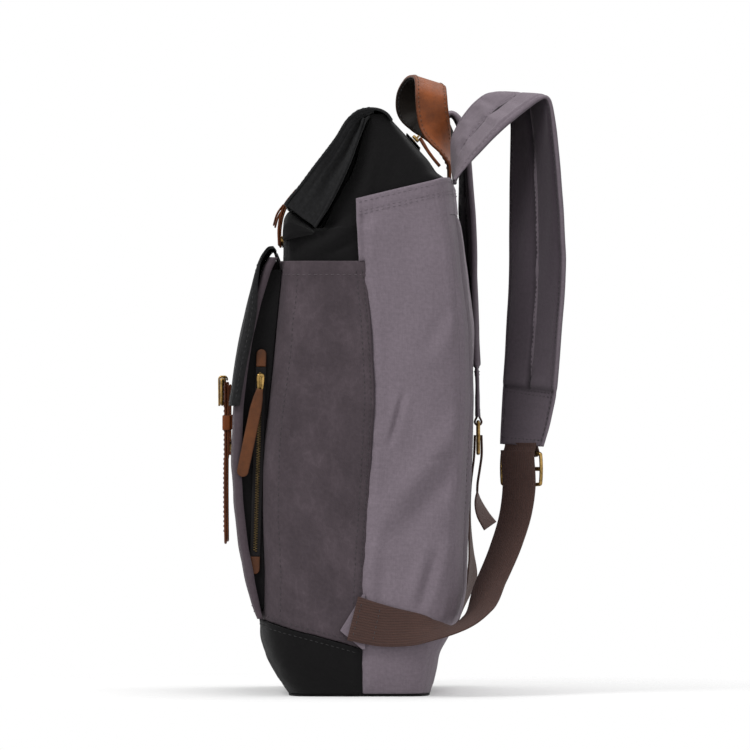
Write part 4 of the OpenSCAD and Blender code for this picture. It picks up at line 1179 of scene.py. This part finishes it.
padRight = {"near": [[106, 76.9, 414.5], [105, 82.3, 421.5], [104, 93.5, 434], [103.5, 106, 447.3],
    [103, 117.5, 458.5], [103, 129.5, 468.5], [103, 141, 477.5], [103, 149.3, 483], [103, 153.3, 481.3],
    [103, 155.5, 472], [103, 157.8, 455], [103.5, 160.9, 425], [104, 163.3, 392], [105, 165, 352],
    [106, 163.8, 315], [107, 160.8, 278], [107, 157.6, 240], [106, 152.5, 216], [104, 147.5, 200]],
    "far": [[46, 76.9, 414.5], [46.5, 74, 432], [47, 74, 449], [47, 82, 464.5], [47, 90.8, 476],
    [47, 100, 484], [47, 107.5, 485.8], [47, 114, 484.3], [47, 118.5, 480], [47, 121.5, 472],
    [47, 122.8, 459], [47.5, 122.3, 431.7], [48, 121.5, 399.3], [50, 120.8, 352], [53, 120, 315],
    [57, 117.9, 278], [62, 115.4, 246], [66.5, 114, 220], [70, 113, 202]], "thick": 9.0, "end": 46.0,
    "fold": 104.0, "body": "strap_right", "node": "shoulder_pad_right", "seed": 101}
leftMid = np.array([[-75, 77.8, 414.5], [-75, 77.3, 424], [-75, 75, 437], [-76, 72, 450], [-77, 69.8, 461],
    [-78, 70, 469.5], [-79, 74, 473.5], [-79.5, 79.3, 470], [-80, 83.8, 461], [-80.5, 86.3, 448],
    [-81.5, 86.5, 428], [-84, 87.3, 391], [-88, 90.2, 354], [-92, 92.2, 318], [-96, 94.6, 284],
    [-100, 96.3, 250], [-103, 97, 223.3]], float)
leftHalf = np.array([30] * 11 + [31, 32, 32, 29, 25, 22], float)[:, None]
leftTurn = np.interp(np.arange(17), np.arange(8, 15), [0, 0.05, 0.1, 0.165, 0.125, 0.06, 0])[:, None]
leftReach = leftHalf * (across + leftTurn * np.array([0.0, 1.0, 0.0]))
padLeft = {"near": leftMid + leftReach, "far": leftMid - leftReach, "thick": 9.0, "end": 40.0, "fold": 58.0,
    "body": "strap_left", "node": "shoulder_pad_left", "seed": 131}


def pressed(rings, held, cap=2.2, force=4.0):
    # cloth under pressure on every third ring and second point of a pad, its seams held; each move is cut to
    # the cap and spread back over the full grid
    rows, cols = rings.shape[:2]
    few = rings[::3, ::2]
    trial = tubePiece("pad_trial", few)
    pins = trial.vertex_groups.new(name="sewn")
    pins.add(np.nonzero(np.r_[held[::3, ::2].ravel(), True, True])[0].tolist(), 1.0, "REPLACE")
    cloth = trial.modifiers.new("cloth", "CLOTH").settings
    cloth.use_pressure, cloth.uniform_pressure_force = True, force
    cloth.vertex_group_mass, cloth.quality, cloth.mass = "sewn", 6, 0.2
    cloth.effector_weights.gravity = 0.0
    for step in range(1, 21):
        bpy.context.scene.frame_set(step)
    shown = trial.evaluated_get(bpy.context.evaluated_depsgraph_get())
    place = np.zeros(len(shown.data.vertices) * 3)
    shown.data.vertices.foreach_get("co", place)
    move = place[:few.size].reshape(few.shape) / mm - few
    bpy.context.scene.frame_set(1)
    bpy.data.objects.remove(trial)
    far = np.linalg.norm(move, axis=2, keepdims=True)
    move = move * np.minimum(1.0, cap / np.maximum(far, 1e-6))
    print("pad pressed out by up to", round(float(np.minimum(far, cap).max()), 2), "mm")
    move = np.concatenate([move, move[:, :1]], axis=1)
    wide = np.stack([carried(np.arange(cols), np.arange(len(ring)) * 2, ring) for ring in move])
    move = [carried(np.arange(rows), np.arange(len(wide)) * 3, wide[:, j]) for j in range(cols)]
    return rings + np.stack(move, 1)


def padPiece(name, pad, rows=230, cols=92):
    # padded strap between two edge lines: two crowned lobes on each face with a sewn channel between them,
    # flat stitched ends, and topstitching pressed in beside both edges
    near, far = np.array(pad["near"], float), np.array(pad["far"], float)
    reach = lengths((near + far) / 2)
    d = np.linspace(0, reach[-1], rows)
    near, far = (np.stack([eased(line, 9, 2.2, mode="reflect", reflect_type="odd")
                           for line in carried(d, reach, edge).T], -1) for edge in (near, far))
    mid, side = (near + far) / 2, (near - far) / 2
    normal = unit(np.cross(unit(np.gradient(mid, axis=0)), side))
    left = d[-1] - d
    end = left - pad["end"]
    full = np.interp(d, [0, 14, 30, 60], [0.42, 0.5, 0.85, 1.0]) * (0.5 + 0.5 / (1 + np.exp(-end / 1.6)))
    full = full * (1 - 0.3 * bell(d - pad["fold"], 14.0))
    a = circle(cols)
    w = -np.sign(np.cos(a)) * np.abs(np.cos(a)) ** 0.8
    out = np.abs(w)
    face = np.sign(np.sin(a) + 1e-9)
    lobe = np.sqrt(ramp(1 - out ** 9)) * (0.82 + 0.18 * np.abs(np.sin(np.pi * out)) ** 0.8)
    groove = np.where(face > 0, 0.7, 0.42) * bell(w, 0.05)
    channel = 1 / (1 + np.exp(-end)) * ramp((d - 18) / 12)
    rise = (lobe - 0.30 * bell(out - 0.87, 0.035))[None] - groove[None] * channel[:, None]
    dent = 1 - 0.5 * bell(end, 1.8)[:, None]
    seed = pad["seed"]
    lump = crumple(d[:, None] + 0 * w, face * 5 + w * 1.4 + 0 * d[:, None], (0.35, 17.0, 1.0, seed))
    small = crumple(d[:, None] + 0 * w, face * 3 + w * 1.1 + 0 * d[:, None], (0.5, 7.0, 1.0, seed + 3))
    lump = (lump + small * bell(w, 0.4)) * ramp(d / 30)[:, None] * (out < 0.9)
    shift = crumple(d, np.zeros(rows), (0.5, 40.0, 1.0, seed + 1))
    t = face * (0.86 * pad["thick"] / 2 * full[:, None] * rise * dent + lump) + shift[:, None]
    rings = mid[:, None] + side[:, None] * w[None, :, None] + normal[:, None] * t[..., None]
    held = (out > 0.84)[None] | ((out < 0.05)[None] & (channel > 0.5)[:, None])
    held = held | ((end < 4) | (d < 16))[:, None]
    rings = pressed(rings, held)
    # darker lining cloth on the inner face; it thins out towards the lower end, painted light: the lower part
    # of the inner face is painted lighter where more light reaches it
    inside = ramp((np.sin(a) > 0) * (0.96 - out) / 0.03)
    lining = inside * np.interp(d / d[-1], [0.0, 0.35, 0.8, 1.0], [1.0, 1.0, 0.68, 0.42])[:, None]
    # painted shade: darkening in the sewn channel, beside the topstitching and at the stitched ends, mostly
    # on the inner face
    grooveShade = bell(w, 0.06) * channel[:, None] + 0.3 * bell(out - 0.87, 0.03) + 0.5 * bell(end, 2.0)[:, None]
    piece = tubePiece(name, rings, ramp(grooveShade * (0.08 + 0.92 * inside)), lining)
    finishPiece(piece, padCanvas, pad["body"], [pad["node"]])
    for sign, thread, word, sunk in ((-1.0, greyThread, "_outer", 0.36), (1.0, darkThread, "_inner", 0.1)):
        key = (pad["body"], thread.name, name + word + "_stitches")
        lift = sign * pad["thick"] / 2 * full
        for edge in (-0.87, 0.87):
            line = mid + side * edge + normal * (lift * 0.41 + shift)[:, None]
            keep = (d > 8) & (left > 3)
            stitch(key, line[keep], (normal * sign)[keep])
        line = mid + normal * (lift * sunk + shift)[:, None]
        keep = (d > 24) & (end > 3)
        stitch(key, line[keep], (normal * sign)[keep], 2.6)
        for at in (pad["end"] - 5.0, pad["end"] - 2.0, 5.0):
            i = int(np.argmin(np.abs(left - at)))
            line = mid[i] + normal[i] * (lift[i] * 0.74 + shift[i])
            line = line + np.outer(np.linspace(-0.84, 0.84, 40), side[i])
            stitch(key, line, np.broadcast_to(normal[i] * sign, line.shape), 2.6)


padPiece("shoulder_strap_right", padRight)
padPiece("shoulder_strap_left", padLeft)

glide = {"half": 23.0, "tall": 13.0, "wire": 1.5, "corner": 3.5, "loopHalf": 18.0, "loopThick": 1.6,
    "bend": 2.75, "right": ((87, 130, 182), math.radians(43), 6.5), "left": ((-103, 97, 206), 0.0, 5.5)}
for sign, word in sides:
    centre, turn, rise = glide[word]
    ex, ey = np.array([math.cos(turn), math.sin(turn), 0]), np.array([-math.sin(turn), math.cos(turn), 0])
    path = roundFrame(centre, ex, upward, glide["half"], glide["tall"], glide["corner"])
    piece = wirePiece("glide_frame_" + word, path, glide["wire"])
    brassPiece(piece, "glide_" + word, ["tri_glide_" + word])
    path = np.array(centre) + np.outer(np.linspace(-glide["half"], glide["half"], 60), ex)
    bar = strapRings(path, upward, 1.7, 2.6, 3.0, 16)[0]
    brassPiece(tubePiece("glide_bar_" + word, bar), "glide_" + word)
    loop = np.vstack([[[0.95, rise + 1.5], [1.0, rise - 1.0]], arc(20, -200, glide["bend"], 40),
                      [[-1.0, rise - 1.0], [-0.95, rise + 1.5]]])
    q = smoothPath(loop, 90)
    path = np.array(centre) + np.outer(q[:, 0], ey) + np.outer(q[:, 1] + glide["tall"], upward)
    rings = strapRings(path, ex, glide["loopHalf"], glide["loopThick"])[0]
    finishPiece(tubePiece("web_loop_" + word, rings), brownWebbing, "strap_" + word, ["strap_loop_" + word])

# the webbing lies on the side tab: two seam gaps, the tab, half its own thickness and a little air
webX = bag["halfWidth"] + 0.6 + 1.8 + 0.9 + 0.1
web = {"half": 19.0, "thick": 1.8,
    "narrow": ([0, 5, 6, 7, 8, 9, 10], [1, 0.95, 0.72, 0.66, 0.74, 0.88, 0.95]),
    "right": [[90.2, 126.6, 197], [88.9, 128, 166], [91.5, 125.5, 147], [101, 117, 119], [115, 105, 91],
    [141, 94.5, 67], [webX + 4.5, 76, 55], [webX + 5.5, 58, 53.5], [webX + 1.2, 40, 54.5], [webX, 18, 57],
    [webX, -6, 63]],
    "rightWide": [[0.73, 0.68, 0], [0.73, 0.68, 0], [0.73, 0.68, 0.05], [0.7, 0.7, 0.1], [0.7, 0.7, 0.1],
    [0.9, 0.4, -0.02], [0.97, 0.2, -0.12], [0.75, 0.1, -0.6], [0.2, 0, -0.97], [0, -0.1, -0.99],
    [0, -0.15, -0.98]],
    "left": [[-103, 94.3, 208], [-103, 93.6, 190], [-104, 90.6, 165], [-109, 90, 135], [-118, 91, 105],
    [-138, 89, 76], [-154.5, 79, 58], [-2.5 - webX, 58, 52], [-0.6 - webX, 40, 52.5], [-webX, 18, 56],
    [-webX, -6, 63]],
    "leftWide": [[-1, 0, 0], [-1, 0, 0], [-1, 0.03, 0], [-1, 0.03, 0.02], [-0.97, 0.1, 0.1],
    [-0.8, 0.32, 0.4], [-0.45, 0.25, 0.8], [-0.2, 0.1, 0.95], [-0.05, 0, 0.99], [0, 0.1, 0.99],
    [0, 0.15, 0.98]],
    "tail": [[-103, 99.7, 208], [-103, 99.8, 190.5], [-103, 98.2, 179], [-103, 96.4, 166],
    [-103, 96.8, 154], [-103, 100.6, 143], [-103, 107, 133]]}


def webPath(points, wide, count):
    # smooth centre line with the width's direction, the narrowing and the distance carried along it
    reach = lengths(np.array(points, float))
    d = np.linspace(0, reach[-1], count)
    v = unit(carried(d, reach, wide))
    v = unit(np.stack([eased(line, 8, 3.5, mode="edge") for line in v.T], -1))
    return smoothPath(points, count), v, np.interp(d, reach[web["narrow"][0]], web["narrow"][1]), d


def webPiece(name, node, path, wide, half, start, end):
    # webbing strip along a path that runs from one body to another, fixed in world place
    rings, edge, side, normal = strapRings(path, wide, half, web["thick"], 8.0, 36)
    piece = finishPiece(tubePiece(name, rings), brownWebbing, None, [node])
    tuple(path[start] * mm)
    tuple(path[end] * mm)
    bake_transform(piece)
    return side, normal


for sign, word in sides:
    path, wide, narrow, d = webPath(web[word], web[word + "Wide"], 200)
    half = web["half"] * narrow
    side, normal = webPiece("lower_webbing_" + word, "strap_webbing_" + word, path, wide, half,
                            10, 150)
    out = normal * np.sign(normal[-1, 0]) * sign
    for back in (4.0, 20.0):
        i = int(np.argmin(np.abs(d[-1] - d - back)))
        line = path[i] + np.outer(half[i] * np.linspace(-0.8, 0.8, 40), side[i]) + out[i] * web["thick"] / 2
        stitch(webSeam, line, np.broadcast_to(out[i], line.shape), 2.8)
path = smoothPath(web["tail"], 60)
turn = np.interp(np.linspace(0, 1, 60), [0, 0.6, 1], [0, 0, 0.6])
wide = np.stack([-np.cos(turn), np.sin(turn), 0 * turn], -1)
half = web["half"] * np.interp(turn, [0, 0.6], [1, 0.62])
webPiece("loose_webbing", "webbing_end", path, wide, half, 8, 30)

tab = {"low": 38.0, "tip": 53.0, "high": 82.0, "x": 152.0, "foot": 2.0, "reach": -16.0, "rear": 4.0}
z = np.linspace(tab["low"], tab["high"], 50)[:, None]
k = np.linspace(0, 1, 24)[None]
y = np.interp(z, [tab["low"], tab["tip"], tab["high"]], [tab["foot"], tab["reach"], tab["foot"]]) * (1 - k)
y = y + tab["rear"] * k
p = np.stack([tab["x"] + crumple(y, z, (0.25, 6.0, 8.0, 141)), y, z + 0 * k], -1)
bothPanels("web_tab_", "side_tab_", p, greyCanvas, thick=1.5)
sewAll()
print("straps made")


# stage, light and camera

white, floorGrey = (1, 1, 1, 1), (0.92, 0.92, 0.92, 1.0)


def stageFinish():
    # white floor that keeps its shadow and melts into the white world with the distance from the bag
    f = Finish(bpy.data.materials.new("stage_finish"), "ShaderNodeMixShader")
    place = f.node("ShaderNodeTexCoord", out=3)
    far = f.node("ShaderNodeVectorMath", {"operation": "LENGTH"}, {0: place}, 1)
    fade = ((far - 0.2) / 0.5 + 0.45).clamp()
    return f.fill(fade, f.node("ShaderNodeBsdfDiffuse", None, {"Color": floorGrey}),
                  f.node("ShaderNodeBsdfTransparent"))


stageHalf = 2.0
corners = [(x * stageHalf, y * stageHalf, 0) for x, y in ((-1, -1), (1, -1), (1, 1), (-1, 1))]
mesh = bpy.data.meshes.new("studio_floor")
mesh.from_pydata(corners, [], [(0, 1, 2, 3)])
stage = bpy.data.objects.new("studio_floor", mesh)
bpy.context.collection.objects.link(stage)
stage.data.materials.append(stageFinish())

# world: white where it is looked at, dimmer as a light
world = bpy.data.worlds.new("studio")
bpy.context.scene.world = world
f = Finish(world, "ShaderNodeMixShader", "ShaderNodeOutputWorld")
seen, glossy, through = (f.node("ShaderNodeLightPath", out="Is " + kind + " Ray")
                         for kind in ("Camera", "Glossy", "Transmission"))
dim, full = (f.node("ShaderNodeBackground", None, {"Color": white, "Strength": strength})
             for strength in (0.5, 1.0))
f.fill(seen.math("MAXIMUM", seen, seen.math("MAXIMUM", glossy, through)), dim, full)

lamps = [("key_light", (1.5, -1.3, 2.3), 39.0, 1.2), ("fill_light", (2.4, 1.2, 0.9), 8.0, 1.8),
    ("top_light", (-0.4, 0.3, 2.4), 27.0, 1.6)]
lampAim = Vector((0.0, 0.0, 0.22))
for name, place, power, size in lamps:
    lamp = bpy.data.lights.new(name, "AREA")
    lamp.energy, lamp.size, lamp.shape = power, size, "DISK"
    made = bpy.data.objects.new(name, lamp)
    bpy.context.collection.objects.link(made)
    made.location = place
    made.rotation_mode = "QUATERNION"
    made.rotation_quaternion = (lampAim - Vector(place)).to_track_quat("-Z", "Y")

view = {"lens": 500.0, "sensor": 36.0, "aim": (0.15, 0.012, 0.2576), "span": 0.6, "clip": 100.0}
lens = bpy.data.cameras.new("photo_view")
lens.lens, lens.sensor_width, lens.clip_end = view["lens"], view["sensor"], view["clip"]
away = view["span"] * view["lens"] / view["sensor"]
camera = bpy.data.objects.new("photo_view", lens)
bpy.context.collection.objects.link(camera)
camera.location = (view["aim"][0] + away, view["aim"][1], view["aim"][2])
camera.rotation_euler = (math.pi / 2, 0, math.pi / 2)
bpy.context.scene.camera = camera
bpy.context.scene.view_settings.view_transform = "Standard"

print("scene ready")
